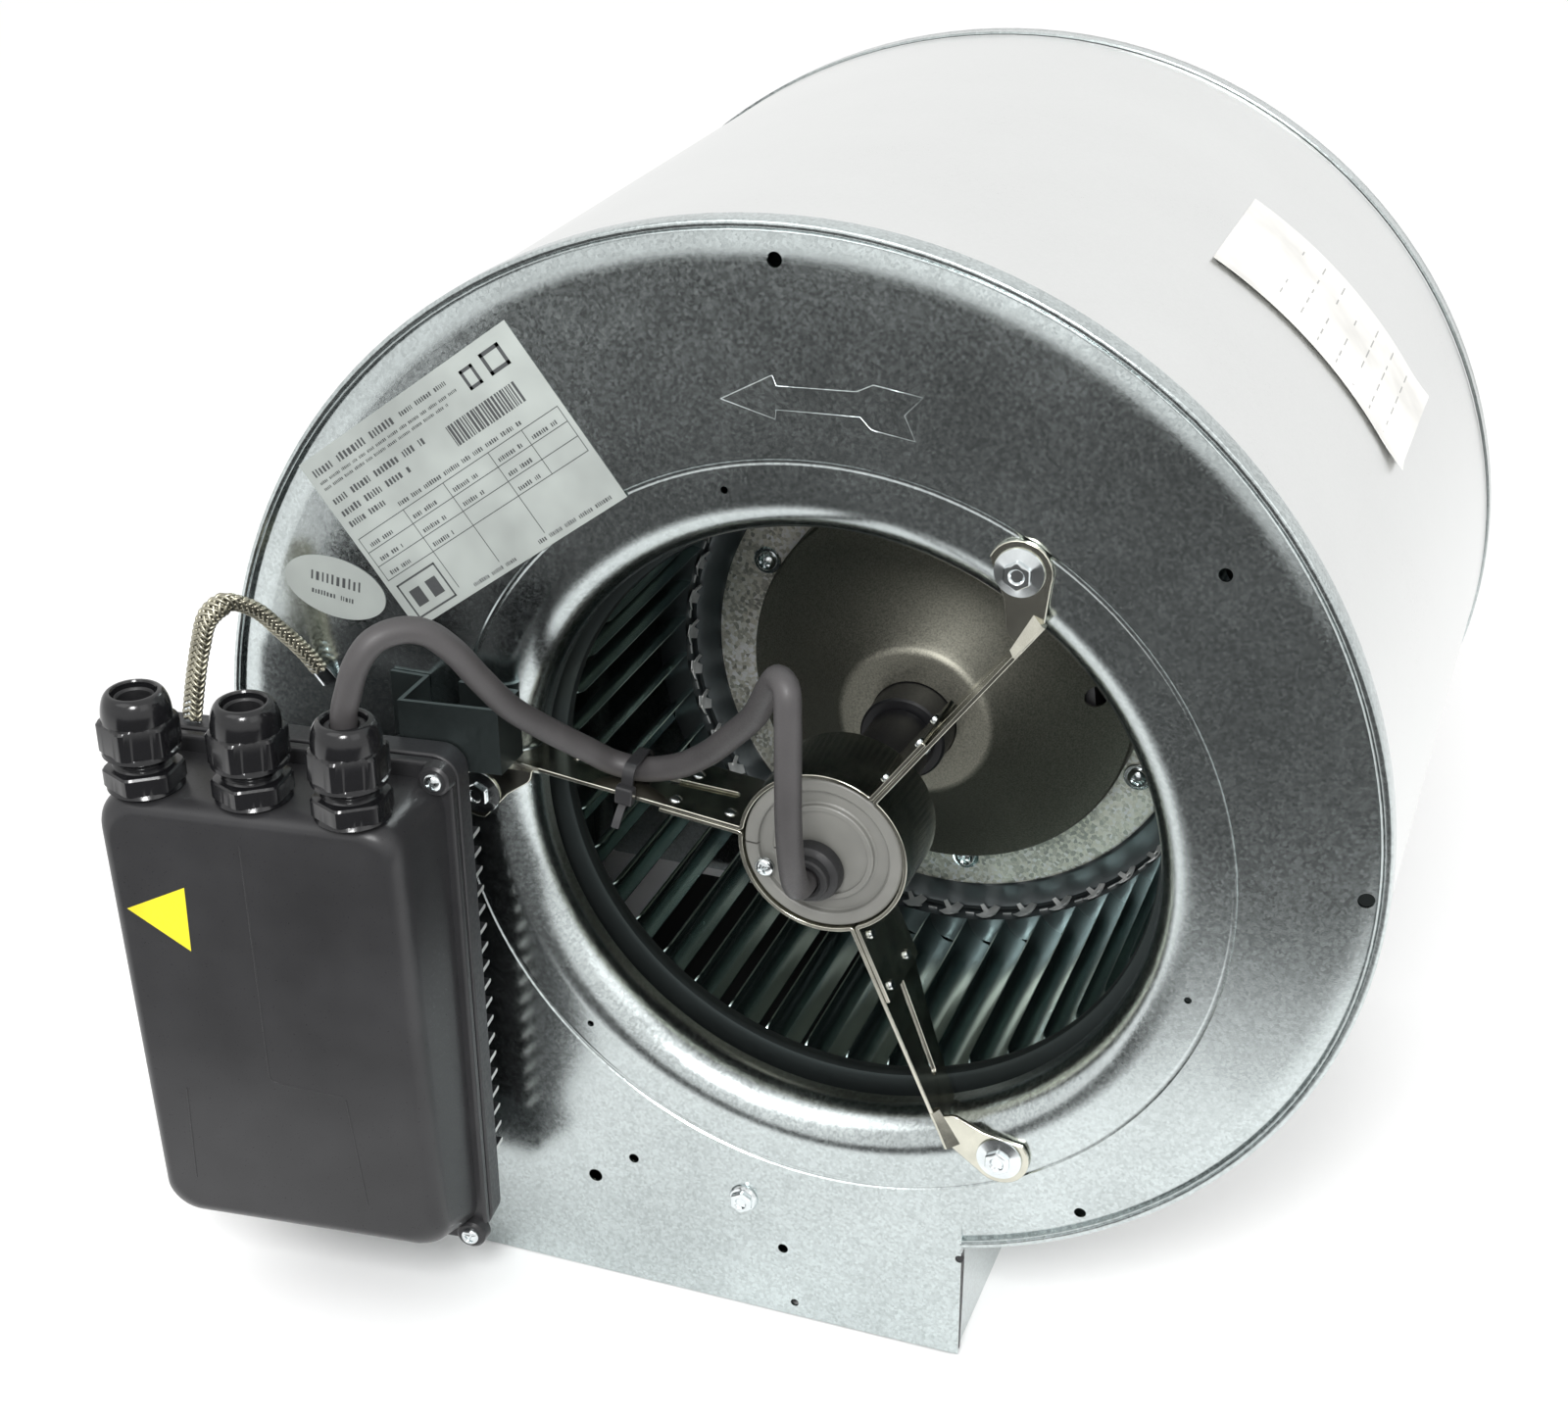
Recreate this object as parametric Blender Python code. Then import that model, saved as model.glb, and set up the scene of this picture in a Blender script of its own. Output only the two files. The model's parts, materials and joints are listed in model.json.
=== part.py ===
"""A double-inlet centrifugal blower: scroll housing, forward-curved wheel, motor on three arms, drive box.

Sizes are in millimetres and are turned into metres as each mesh is made.  Most pieces are drawn in the fan
frame: origin on the wheel's axis in the plane of the front side plate, +X right, +Y to the rear, +Z up.  The
drive box has a frame of its own, because it stands a little askew on its brackets.
"""

import math

import bmesh
import bpy
from mathutils import Matrix, Vector
from mathutils.geometry import tessellate_polygon

MM = 0.001
GAP = 0.3  # between neighbouring pieces

# Fan housing
PLATE_SPACING = 298.0
SHEET = 1.0
SCROLL_STEP = 19.0  # side of the square on which the three arc centres stand
SCROLL_RADIUS = 180.5  # first arc, each next arc is one step larger
SCROLL_CENTRE = (6.5, 16.5)
OUTLET_RIGHT = 52.6
OUTLET_BOTTOM = -209.1
RIM_WIDTH = 3.7
RIM_PROUD = 1.0
INLET_STEP_RADIUS = 139.0
INLET_FLAT_RADIUS = 128.0
THROAT_RADIUS = 112.5
PLATE_HOLES = (  # x, z, diameter
    (-16.9, 203.9, 5.0),
    (127.4, 120.7, 4.5),
    (179.8, 16.5, 5.4),
    (95.3, -129.9, 4.3),
    (-16.6, -177.4, 4.0),
    (-12.0, -202.2, 3.2),
    (-93.0, -163.3, 5.5),
    (-76.6, -151.0, 4.0),
)
OUTLET_SCREW = (-32.1, -157.6)

# Motor support
ARM_ANGLES = (53.3, 173.3, 293.3)
ARM_SHEET = 1.5
BAND_RADIUS = 28.8
ARM_FRONT = -4.0
ARM_ROOT_DEPTH = 33.0
BOLT_RADIUS = 130.0
PILOT_RADIUS = 131.0
BOLT_TURN = 7.1  # bolts stand this many degrees past their arms
STRAP_SLOT = ((39.0, 14.8), (96.0, 8.6), 2.0)  # both ends as radius and y, and half its width
STRAP_SCREW = (52.0, 2.0)  # radius and y

# Motor: an external rotor round a fixed hollow shaft, held at its front end in a bush
BUSH_RADIUS = 28.4
BUSH_WALL = 1.5
BUSH_FRONT = 4.3
BUSH_SEAT = 9.8
BUSH_REAR = 28.6
NECK_RADIUS = 12.7
NECK_REAR = 84.2
SHAFT_RADIUS = 9.0
SHAFT_BORE = 5.2
SHAFT_REAR = 182.0
BEARING_RADIUS = 14.2
BEARING_WIDTH = 10.0
BEARINGS = (87.0, 164.0)  # front faces
STATOR = (130.0, 158.0)
STATOR_RADIUS = 52.2
WINDING = 9.0  # length of each winding end
ROTOR = (130.0, 170.0)
ROTOR_RADIUS = 62.5
ROTOR_CAN = (64.5, 66.0)
ROTOR_CAN_REAR = 176.0
HUB_RADIUS = 16.4
GROMMET = (-3.0, -6.0)
CABLE_RADIUS = 4.5

# Wheel
WHEEL_RADIUS = 121.0
BLADE_ROOT = 109.0
BLADES = 43
WHEEL_FRONT = 27.0
WHEEL_CENTRE = PLATE_SPACING / 2
DISC_EDGE = 77.2
DISC_BOLT_RADIUS = 84.0

# Drive box, in its own frame: origin at the middle of the right edge of its back plane
BOX_ORIGIN = (-124.1, -19.0, -74.3)
BOX_YAW = 6.55
BOX_WIDTH = 120.7
BOX_HEIGHT = 204.6
BOX_DEPTH = 54.5
BOX_SEAM = -12.0
FACE_TOP = 96.1
FACE_BOTTOM = -85.1
FACE_INSET = 5.4
FACE_SLOPE = 9.5
GLANDS = ((-100.3, -41.6), (-61.1, -40.8), (-23.6, -45.0))  # x and y of each gland in the box frame
CABLE_GLAND = 2


# ---------------------------------------------------------------- building blocks


def clear_scene():
    for thing in list(bpy.data.objects):
        bpy.data.objects.remove(thing, do_unlink=True)


def make_material(name, colour, roughness, metallic):
    material = bpy.data.materials.new(name)
    material.use_nodes = True
    shader = material.node_tree.nodes["Principled BSDF"]
    shader.inputs["Base Color"].default_value = (*colour, 1.0)
    shader.inputs["Roughness"].default_value = roughness
    shader.inputs["Metallic"].default_value = metallic
    material.diffuse_color = (*colour, 1.0)
    return material


def make_frame(name, origin, yaw=0.0):
    frame = bpy.data.objects.new(name, None)
    frame.location = [MM * value for value in origin]
    frame.rotation_euler = (0.0, 0.0, math.radians(yaw))
    bpy.context.collection.objects.link(frame)
    return frame


def mesh_piece(name, points, faces, frame, material=None):
    """A closed mesh from points in millimetres, held by the frame that it is drawn in."""
    mesh = bpy.data.meshes.new(name)
    mesh.from_pydata([[MM * value for value in point] for point in points], [], faces)
    shaped = bmesh.new()
    shaped.from_mesh(mesh)
    bmesh.ops.recalc_face_normals(shaped, faces=shaped.faces)
    shaped.to_mesh(mesh)
    shaped.free()
    mesh.shade_smooth()
    mesh.set_sharp_from_angle(angle=math.radians(35))
    piece = bpy.data.objects.new(name, mesh)
    bpy.context.collection.objects.link(piece)
    piece.parent = frame
    if material:
        mesh.materials.append(material)
    return piece


def turned(profile, turns, start=0.0, axis=(0.0, 0.0)):
    """Points and faces of a closed (radius, y) profile turned about a line along Y through axis."""
    points = []
    rows = []
    for radius, y in profile:
        if radius < 1e-6:
            rows.append([len(points)])
            points.append((axis[0], y, axis[1]))
            continue
        rows.append(list(range(len(points), len(points) + turns)))
        for turn in range(turns):
            angle = start + 2 * math.pi * turn / turns
            points.append((axis[0] + radius * math.cos(angle), y, axis[1] + radius * math.sin(angle)))
    faces = []
    for row, following in zip(rows, rows[1:] + rows[:1]):
        if len(row) == 1 and len(following) == 1:
            continue
        for turn in range(turns):
            after = (turn + 1) % turns
            corners = [row[turn % len(row)], row[after % len(row)]]
            corners += [following[after % len(following)], following[turn % len(following)]]
            faces.append(list(dict.fromkeys(corners)))
    return points, faces


def swept(stations):
    """Points and faces of a capped tube whose cross-sections are the given rings of points."""
    size = len(stations[0])
    points = [point for station in stations for point in station]
    faces = []
    count = len(stations)
    for index in range(count - 1):
        here = index * size
        there = here + size
        for side in range(size):
            after = (side + 1) % size
            faces.append([here + side, here + after, there + after, there + side])
    faces.append(list(range(size)))
    faces.append([(count - 1) * size + side for side in reversed(range(size))])
    return points, faces


def extruded(outline, low, high, axis="y"):
    """Points and faces of an outline drawn across the axis and extruded from low to high."""
    order = {"x": lambda a, b, c: (c, a, b), "y": lambda a, b, c: (a, c, b), "z": lambda a, b, c: (a, b, c)}
    place = order[axis]
    return swept([[place(a, b, level) for a, b in outline] for level in (low, high)])


def arc(centre, radius, start, end, steps):
    """Points on an arc, angles in degrees, both ends included."""
    angles = [math.radians(start + (end - start) * step / steps) for step in range(steps + 1)]
    return [(centre[0] + radius * math.cos(angle), centre[1] + radius * math.sin(angle)) for angle in angles]


def polygon(centre, radius, sides, turn=0.0):
    return arc(centre, radius, turn, turn + 360.0 * (sides - 1) / sides, sides - 1)


def rounded_rectangle(low, high, radius, steps=3):
    """Corner arcs of a rectangle from low to high, both (a, b) pairs."""
    outline = []
    corners = ((high[0], high[1], 0), (low[0], high[1], 90), (low[0], low[1], 180), (high[0], low[1], 270))
    for a, b, turn in corners:
        centre = (a - math.copysign(radius, a - low[0] - 1e-6), b - math.copysign(radius, b - low[1] - 1e-6))
        outline += arc(centre, radius, turn, turn + 90, steps)
    return outline


def capsule(start, end, radius):
    """A straight slot with round ends."""
    turn = math.degrees(math.atan2(end[1] - start[1], end[0] - start[0]))
    return arc(end, radius, turn - 90, turn + 90, 4) + arc(start, radius, turn + 90, turn + 270, 4)


def strip_outline(line, thickness):
    """A sheet of even thickness along an open line of (a, b) points, mitred at its bends."""
    left = []
    right = []
    for index, point in enumerate(line):
        here = Vector(point)
        before = (here - Vector(line[index - 1])).normalized() if index else None
        after = (Vector(line[index + 1]) - here).normalized() if index + 1 < len(line) else None
        before = before or after
        after = after or before
        along = (before + after).normalized()
        reach = thickness / 2 / max(0.3, along.dot(after))
        side = Vector((-along.y, along.x)) * reach
        left.append(tuple(here + side))
        right.append(tuple(here - side))
    return left + right[::-1]


def boolean(piece, tool, operation):
    """Cuts the tool from the piece, or joins it on, and keeps the tool as a guide."""
    modifier = piece.modifiers.new(operation.lower(), "BOOLEAN")
    modifier.object = tool
    modifier.operation = operation
    modifier.solver = "EXACT"
    tool.hide_render = True
    tool.display_type = "WIRE"


def merged(shapes):
    """Several (points, faces) shapes as one mesh's points and faces."""
    points = []
    faces = []
    for shape_points, shape_faces in shapes:
        first = len(points)
        points += shape_points
        faces += [[first + corner for corner in face] for face in shape_faces]
    return points, faces


def turn_about_axis(points, degrees, centre=(0.0, 0.0)):
    """Points turned about a line along Y, from +X towards +Z."""
    c = math.cos(math.radians(degrees))
    s = math.sin(math.radians(degrees))
    moved = []
    for x, y, z in points:
        a = x - centre[0]
        b = z - centre[1]
        moved.append((centre[0] + a * c - b * s, y, centre[1] + a * s + b * c))
    return moved


def smooth_line(route, count):
    """Even points along a smooth curve through the route (centripetal Catmull-Rom)."""
    knots = [Vector(point) for point in route]
    knots = [2 * knots[0] - knots[1], *knots, 2 * knots[-1] - knots[-2]]
    dense = []
    for a, b, c, d in zip(knots, knots[1:], knots[2:], knots[3:]):
        t1 = (b - a).length ** 0.5
        t2 = t1 + (c - b).length ** 0.5
        t3 = t2 + (d - c).length ** 0.5
        for step in range(24):
            t = t1 + (t2 - t1) * step / 24
            ab = a.lerp(b, t / t1)
            bc = b.lerp(c, (t - t1) / (t2 - t1))
            cd = c.lerp(d, (t - t2) / (t3 - t2))
            abc = ab.lerp(bc, t / t2)
            bcd = bc.lerp(cd, (t - t1) / (t3 - t1))
            dense.append(abc.lerp(bcd, (t - t1) / (t2 - t1)))
    dense.append(knots[-2])
    lengths = [0.0]
    for here, there in zip(dense, dense[1:]):
        lengths.append(lengths[-1] + (there - here).length)
    line = []
    index = 0
    for step in range(count):
        wanted = lengths[-1] * step / (count - 1)
        while index < len(dense) - 2 and lengths[index + 1] < wanted:
            index += 1
        share = (wanted - lengths[index]) / (lengths[index + 1] - lengths[index])
        line.append(dense[index].lerp(dense[index + 1], share))
    return line


def tube(name, route, radius, count, frame, material):
    """A round cable along a smooth curve through the route."""
    curve = bpy.data.curves.new(name, "CURVE")
    curve.dimensions = "3D"
    curve.bevel_depth = MM * radius
    curve.bevel_resolution = 2
    curve.use_fill_caps = True
    spline = curve.splines.new("POLY")
    line = smooth_line(route, count)
    spline.points.add(len(line) - 1)
    for point, place in zip(spline.points, line):
        point.co = (*(MM * value for value in place), 1.0)
    cable = bpy.data.objects.new(name, curve)
    bpy.context.collection.objects.link(cable)
    cable.parent = frame
    curve.materials.append(material)
    return cable


# ---------------------------------------------------------------- scroll housing


def scroll_path():
    """Stations round the scroll from the cut-off to the outlet's left foot: point and outward direction."""
    x, z = SCROLL_CENTRE
    first = -math.degrees(math.acos((OUTLET_RIGHT - x) / SCROLL_RADIUS))
    stations = []
    for number, (start, end, steps) in enumerate(((first, 0, 9), (0, 90, 11), (90, 180, 11))):
        centre = (x - SCROLL_STEP * min(number, 1), z - SCROLL_STEP * max(number - 1, 0))
        radius = SCROLL_RADIUS + SCROLL_STEP * number
        for point in arc(centre, radius, start, end, steps)[1 if number else 0:]:
            outward = ((point[0] - centre[0]) / radius, (point[1] - centre[1]) / radius)
            stations.append((point, outward))
    stations.append(((stations[-1][0][0], OUTLET_BOTTOM), (-1.0, 0.0)))
    return stations


def scroll_band(section, stations):
    """A band round the scroll whose cross-section is a closed loop of (inset, y) points."""
    rings = []
    for (x, z), (nx, nz) in stations:
        rings.append([(x - inset * nx, y, z - inset * nz) for inset, y in section])
    return swept(rings)


def mirrored(points, side):
    """Front pieces as drawn, or their mirror image on the rear side."""
    if side == "front":
        return points
    return [(x, PLATE_SPACING - y, z) for x, y, z in points]


def plate_with_roll(outline, rows, turns):
    """A flat sheet inside the outline whose round hole continues in the turned rows of an inlet roll."""
    count = len(outline)
    circle = arc((0, 0), rows[0][0], 0, 360.0 * (turns - 1) / turns, turns - 1)
    flat = tessellate_polygon([[Vector((x, z, 0)) for x, z in loop] for loop in (outline, circle)])
    points = [(x, 0.0, z) for x, z in outline] + [(x, SHEET, z) for x, z in outline]
    first = len(points)
    for radius, y in rows:
        points += [(radius / rows[0][0] * x, y, radius / rows[0][0] * z) for x, z in circle]
    last = len(points) - turns
    faces = []
    for triangle in flat:
        faces.append([corner if corner < count else first + corner - count for corner in triangle])
        faces.append([corner + count if corner < count else last + corner - count for corner in triangle])
    for corner in range(count):
        after = (corner + 1) % count
        faces.append([corner, after, after + count, corner + count])
    for row in range(len(rows) - 1):
        here = first + row * turns
        for turn in range(turns):
            after = (turn + 1) % turns
            faces.append([here + turn, here + after, here + turns + after, here + turns + turn])
    return points, faces


def side_plate(side, frame, material):
    """Flat sheet with the locked rim round the scroll and the rolled inlet turned from the same sheet."""
    stations = scroll_path()
    inset = 0.5
    outline = [(x - inset * nx, z - inset * nz) for (x, z), (nx, nz) in stations]
    outline += [(OUTLET_RIGHT, OUTLET_BOTTOM)]
    outline[0] = (OUTLET_RIGHT, outline[0][1])
    roll = INLET_FLAT_RADIUS - THROAT_RADIUS
    recess = 0.45
    centre = (INLET_FLAT_RADIUS, roll + recess)
    rows = [(INLET_STEP_RADIUS, 0), (INLET_STEP_RADIUS - 0.4, recess)]
    rows += arc(centre, roll, 270, 180, 3)
    rows += [(THROAT_RADIUS, roll + 3), (THROAT_RADIUS + SHEET, roll + 3)]
    rows += arc(centre, roll - SHEET, 180, 270, 3)
    rows += [(INLET_STEP_RADIUS - 0.4, recess + SHEET), (INLET_STEP_RADIUS, SHEET)]
    points, faces = plate_with_roll(outline, rows, 36)
    plate = mesh_piece("side_plate_" + side, mirrored(points, side), faces, frame, material)

    holes = [extruded(polygon((x, z), size / 2, 8), -4, 5) for x, z, size in PLATE_HOLES]
    holes.append(extruded(polygon(OUTLET_SCREW, 2.3, 8), -4, 5))
    for angle in ARM_ANGLES:
        bolt = on_circle(BOLT_RADIUS, angle + BOLT_TURN)
        pilot = on_circle(PILOT_RADIUS, angle + BOLT_TURN + 45)
        holes.append(extruded(polygon(bolt, 3.2, 10), -4, 5))
        holes.append(extruded(polygon(pilot, 1.25, 6), -4, 5))
    points, faces = merged(holes)
    boolean(plate, mesh_piece("plate_holes_" + side, mirrored(points, side), faces, frame), "DIFFERENCE")

    rim_section = [(0, -RIM_PROUD), (RIM_WIDTH, -RIM_PROUD), (RIM_WIDTH, 0.5), (0.9, 0.5), (0.9, 7), (0, 7)]
    rim_stations = stations[:-1] + [((stations[-1][0][0], OUTLET_BOTTOM + 0.4), stations[-1][1])]
    points, faces = scroll_band(rim_section, rim_stations)
    boolean(plate, mesh_piece("rim_" + side, mirrored(points, side), faces, frame), "UNION")
    return plate


def on_circle(radius, degrees):
    return (radius * math.cos(math.radians(degrees)), radius * math.sin(math.radians(degrees)))


def scroll_wrap(frame, material):
    low = SHEET + GAP
    high = PLATE_SPACING - low
    section = [(1.2, low), (2.2, low), (2.2, high), (1.2, high)]
    points, faces = scroll_band(section, scroll_path())
    return mesh_piece("scroll_wrap", points, faces, frame, material)


def cutoff_plate(frame, material):
    """The outlet's right wall, bent inwards at its top into the tongue of the cut-off."""
    inner = OUTLET_RIGHT - 2.0
    line = [(inner, OUTLET_BOTTOM), (inner, -166.0)]
    line += arc((inner - 16, -166.0), 16, 12, 48, 3)
    line += [(inner - 22, -140.0)]
    outline = strip_outline(line, SHEET)
    low = SHEET + GAP
    points, faces = extruded(outline, low, PLATE_SPACING - low)
    return mesh_piece("cutoff_plate", points, faces, frame, material)


# ---------------------------------------------------------------- fasteners


def hex_screw(name, place, head_y, frame, material, across=8.0, flange=5.5, shank=2.0, depth=8.0):
    """A hex-head screw along Y whose flange rests at head_y, with its shank to the rear."""
    rest = head_y - GAP
    profile = [(0, rest - 1.2), (flange, rest - 1.2), (flange, rest), (shank, rest)]
    profile += [(shank, rest + depth), (0, rest + depth)]
    points, faces = turned(profile, 12, axis=place)
    screw = mesh_piece(name, points, faces, frame, material)
    points, faces = extruded(polygon(place, across / math.sqrt(3), 6, 15), rest - 5.0, rest - 0.6)
    boolean(screw, mesh_piece(name + "_hex", points, faces, frame), "UNION")
    return screw


def pan_screw(name, place, head_y, frame, material, head=3.6, shank=1.7, depth=6.0):
    """A round-headed screw along Y."""
    rest = head_y - GAP
    profile = [(0, rest - 2.4), (head * 0.6, rest - 2.2), (head, rest - 0.9), (head, rest), (shank, rest)]
    profile += [(shank, rest + depth), (0, rest + depth)]
    points, faces = turned(profile, 8, axis=place)
    return mesh_piece(name, points, faces, frame, material)


# ---------------------------------------------------------------- motor and its support


def support_strap(number, frame, material, bright):
    """One sheet: an arm on edge, a third of the band round the motor, and a flange on the next arm."""
    middle = BAND_RADIUS + ARM_SHEET / 2
    offset = ARM_SHEET / 2 + GAP / 2
    root = math.degrees(math.asin(offset / middle))
    rear_edge = ((118.0, 2.5), (112.6, 8.0), (111.6, 15.5), (60.0, ARM_FRONT + ARM_ROOT_DEPTH))
    line = [(radius, -offset) for radius, rear in rear_edge]
    line.append((math.sqrt(middle**2 - offset**2), -offset))
    line += arc((0, 0), middle, -root - 8, root - 112, 9)
    end = Vector(on_circle(1.0, -120))
    side = Vector((-end.y, end.x))
    line += [tuple(end * radius + side * offset) for radius in (math.sqrt(middle**2 - offset**2), 60.0)]
    left_right = strip_outline(line, ARM_SHEET)
    half = len(left_right) // 2
    rings = []
    for index in range(half):
        outer = left_right[index]
        inner = left_right[-1 - index]
        rear = rear_edge[min(index, len(rear_edge) - 1)][1]
        rings.append([(outer[0], ARM_FRONT, outer[1]), (inner[0], ARM_FRONT, inner[1]),
                      (inner[0], rear, inner[1]), (outer[0], rear, outer[1])])
    points, faces = swept(rings)
    angle = ARM_ANGLES[number]
    name = "support_strap_%d" % (number + 1)
    strap = mesh_piece(name, turn_about_axis(points, angle), faces, frame, material)

    bolt = on_circle(BOLT_RADIUS, BOLT_TURN)
    tab = arc(bolt, 9.5, -60, 110, 6)
    tab += [(108.0, 1.5), (107.0, -1.3), (118.5, -1.6)]
    points, faces = extruded(tab, -GAP - ARM_SHEET, -GAP)
    tab_piece = mesh_piece(name + "_tab", turn_about_axis(points, angle), faces, frame)
    hole = extruded(polygon(bolt, 3.2, 12), -10, 5)
    hole_piece = mesh_piece(name + "_hole", turn_about_axis(hole[0], angle), hole[1], frame)
    boolean(strap, tab_piece, "UNION")
    boolean(strap, hole_piece, "DIFFERENCE")
    points, faces = extruded(capsule(*STRAP_SLOT), -6, 6, "z")
    slot_piece = mesh_piece(name + "_slot", turn_about_axis(points, angle), faces, frame)
    boolean(strap, slot_piece, "DIFFERENCE")
    strap_screw_hole(number, strap, frame)
    strap_screw_hole((number + 2) % 3, strap, frame)
    strap_screw(number, frame, bright)
    return strap


def strap_screw(number, frame, material):
    """The screw through an arm and the flange that lies on it."""
    profile = [(0, -4.0), (1.8, -3.8), (2.8, -2.9), (2.8, -1.95), (1.2, -1.95), (1.2, 3.6), (0, 3.6)]
    points, faces = turned(profile, 8)
    standing = [(STRAP_SCREW[0] + x, STRAP_SCREW[1] + z, y) for x, y, z in points]
    name = "strap_screw_%d" % (number + 1)
    mesh_piece(name, turn_about_axis(standing, ARM_ANGLES[number]), faces, frame, material)


def strap_screw_hole(number, strap, frame):
    """The two strap sheets of an arm are drilled together."""
    drill = extruded(polygon(STRAP_SCREW, 1.5, 8), -6, 6, "z")
    name = strap.name + "_drill_%d" % number
    boolean(strap, mesh_piece(name, turn_about_axis(drill[0], ARM_ANGLES[number]), drill[1], frame), "DIFFERENCE")


def shaft_support(frame, grey, steel, dark, rubber):
    """The bush in the straps' band, its cap with the cable's grommet, and the fixed hollow shaft."""
    shell = BUSH_RADIUS - BUSH_WALL
    bush = [(BUSH_RADIUS, BUSH_FRONT), (BUSH_RADIUS, BUSH_REAR), (NECK_RADIUS + GAP, BUSH_REAR)]
    bush += [(NECK_RADIUS + GAP, BUSH_SEAT), (shell, BUSH_SEAT), (shell, BUSH_FRONT)]
    mesh_piece("shaft_bush", *turned(bush, 20), frame, dark)

    cap = [(0, -3), (18.5, -3), (19.5, -1.8), (24, -1.8), (25, -3), (BUSH_RADIUS, -3), (BUSH_RADIUS, 4)]
    cap += [(shell - GAP, 4), (shell - GAP, 9), (shell - 2, 9), (shell - 2, 0.5), (0, 0.5)]
    front_cap = mesh_piece("bush_cap", *turned(cap, 20), frame, grey)
    holes = merged([extruded(polygon(GROMMET, 8.3, 20), -10, 6), extruded(polygon((-20.8, -9.2), 2.0, 10), -6, 6)])
    boolean(front_cap, mesh_piece("cable_entry", *holes, frame), "DIFFERENCE")
    pan_screw("bush_cap_screw", (-20.8, -9.2), -3.0, frame, steel, head=3.2, shank=1.6, depth=6)

    bore = CABLE_RADIUS + GAP + 0.2
    ring = [(bore, -13), (8.6, -13), (11, -11), (11, -3.4), (8.0, -3.4), (8.0, 0.8), (9.4, 0.8), (9.4, 2.2)]
    ring += [(bore, 2.2)]
    mesh_piece("cable_grommet", *turned(ring, 12, axis=GROMMET), frame, rubber)

    front = BUSH_SEAT + GAP
    shaft = [(NECK_RADIUS, front), (NECK_RADIUS, NECK_REAR), (SHAFT_RADIUS, NECK_REAR), (SHAFT_RADIUS, SHAFT_REAR)]
    shaft += [(SHAFT_BORE, SHAFT_REAR), (SHAFT_BORE, front)]
    mesh_piece("motor_shaft", *turned(shaft, 24), frame, dark)


def motor(frame, wheel, steel, copper, laminations, dark):
    """Stator on the fixed shaft; magnet ring, rear can and both bearings turn with the wheel."""
    inner = SHAFT_RADIUS + GAP
    front, rear = STATOR
    core = STATOR_RADIUS
    wound = [(20, 46), (21, 45)]  # inner and outer radius of the windings at their root and end
    stator = [(inner, front), (wound[0][0], front), (wound[1][0], front - WINDING), (wound[1][1], front - WINDING)]
    stator += [(wound[0][1], front), (core, front), (core, rear), (wound[0][1], rear)]
    stator += [(wound[1][1], rear + WINDING), (wound[1][0], rear + WINDING), (wound[0][0], rear), (inner, rear)]
    mesh_piece("stator", *turned(stator, 24), frame, copper)

    ring = [(STATOR_RADIUS + 1.0, ROTOR[0]), (ROTOR_RADIUS, ROTOR[0]), (ROTOR_RADIUS, ROTOR[1])]
    ring += [(STATOR_RADIUS + 1.0, ROTOR[1])]
    mesh_piece("rotor", *turned(ring, 24), wheel, laminations)
    for name, y in zip(("bearing_front", "bearing_rear"), BEARINGS):
        race = [(inner, y), (BEARING_RADIUS, y), (BEARING_RADIUS, y + BEARING_WIDTH), (inner, y + BEARING_WIDTH)]
        mesh_piece(name, *turned(race, 20), wheel, steel)

    seat = BEARING_RADIUS + GAP
    lip = SHAFT_RADIUS + 0.5
    flange = WHEEL_CENTRE + 2.4
    wall, outer = ROTOR_CAN
    end = ROTOR_CAN_REAR
    can = [(91, flange), (91, flange + 1.2), (outer, flange + 1.2), (outer, end), (lip, end), (lip, end - 1.5)]
    can += [(seat, end - 1.5), (seat, end - 13), (seat + 2.5, end - 13), (seat + 2.5, end - 1.5), (wall, end - 1.5)]
    can += [(wall, flange)]
    rear_can = mesh_piece("rotor_can", *turned(can, 30), wheel, dark)
    holes = merged([extruded(polygon(place, 2.3, 6), 140, 160) for place in disc_bolt_places()])
    boolean(rear_can, mesh_piece("can_holes", *holes, wheel), "DIFFERENCE")


# ---------------------------------------------------------------- wheel


def disc_bolt_places():
    return [on_circle(DISC_BOLT_RADIUS, 35.6 + 60 * number) for number in range(6)]


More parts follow.
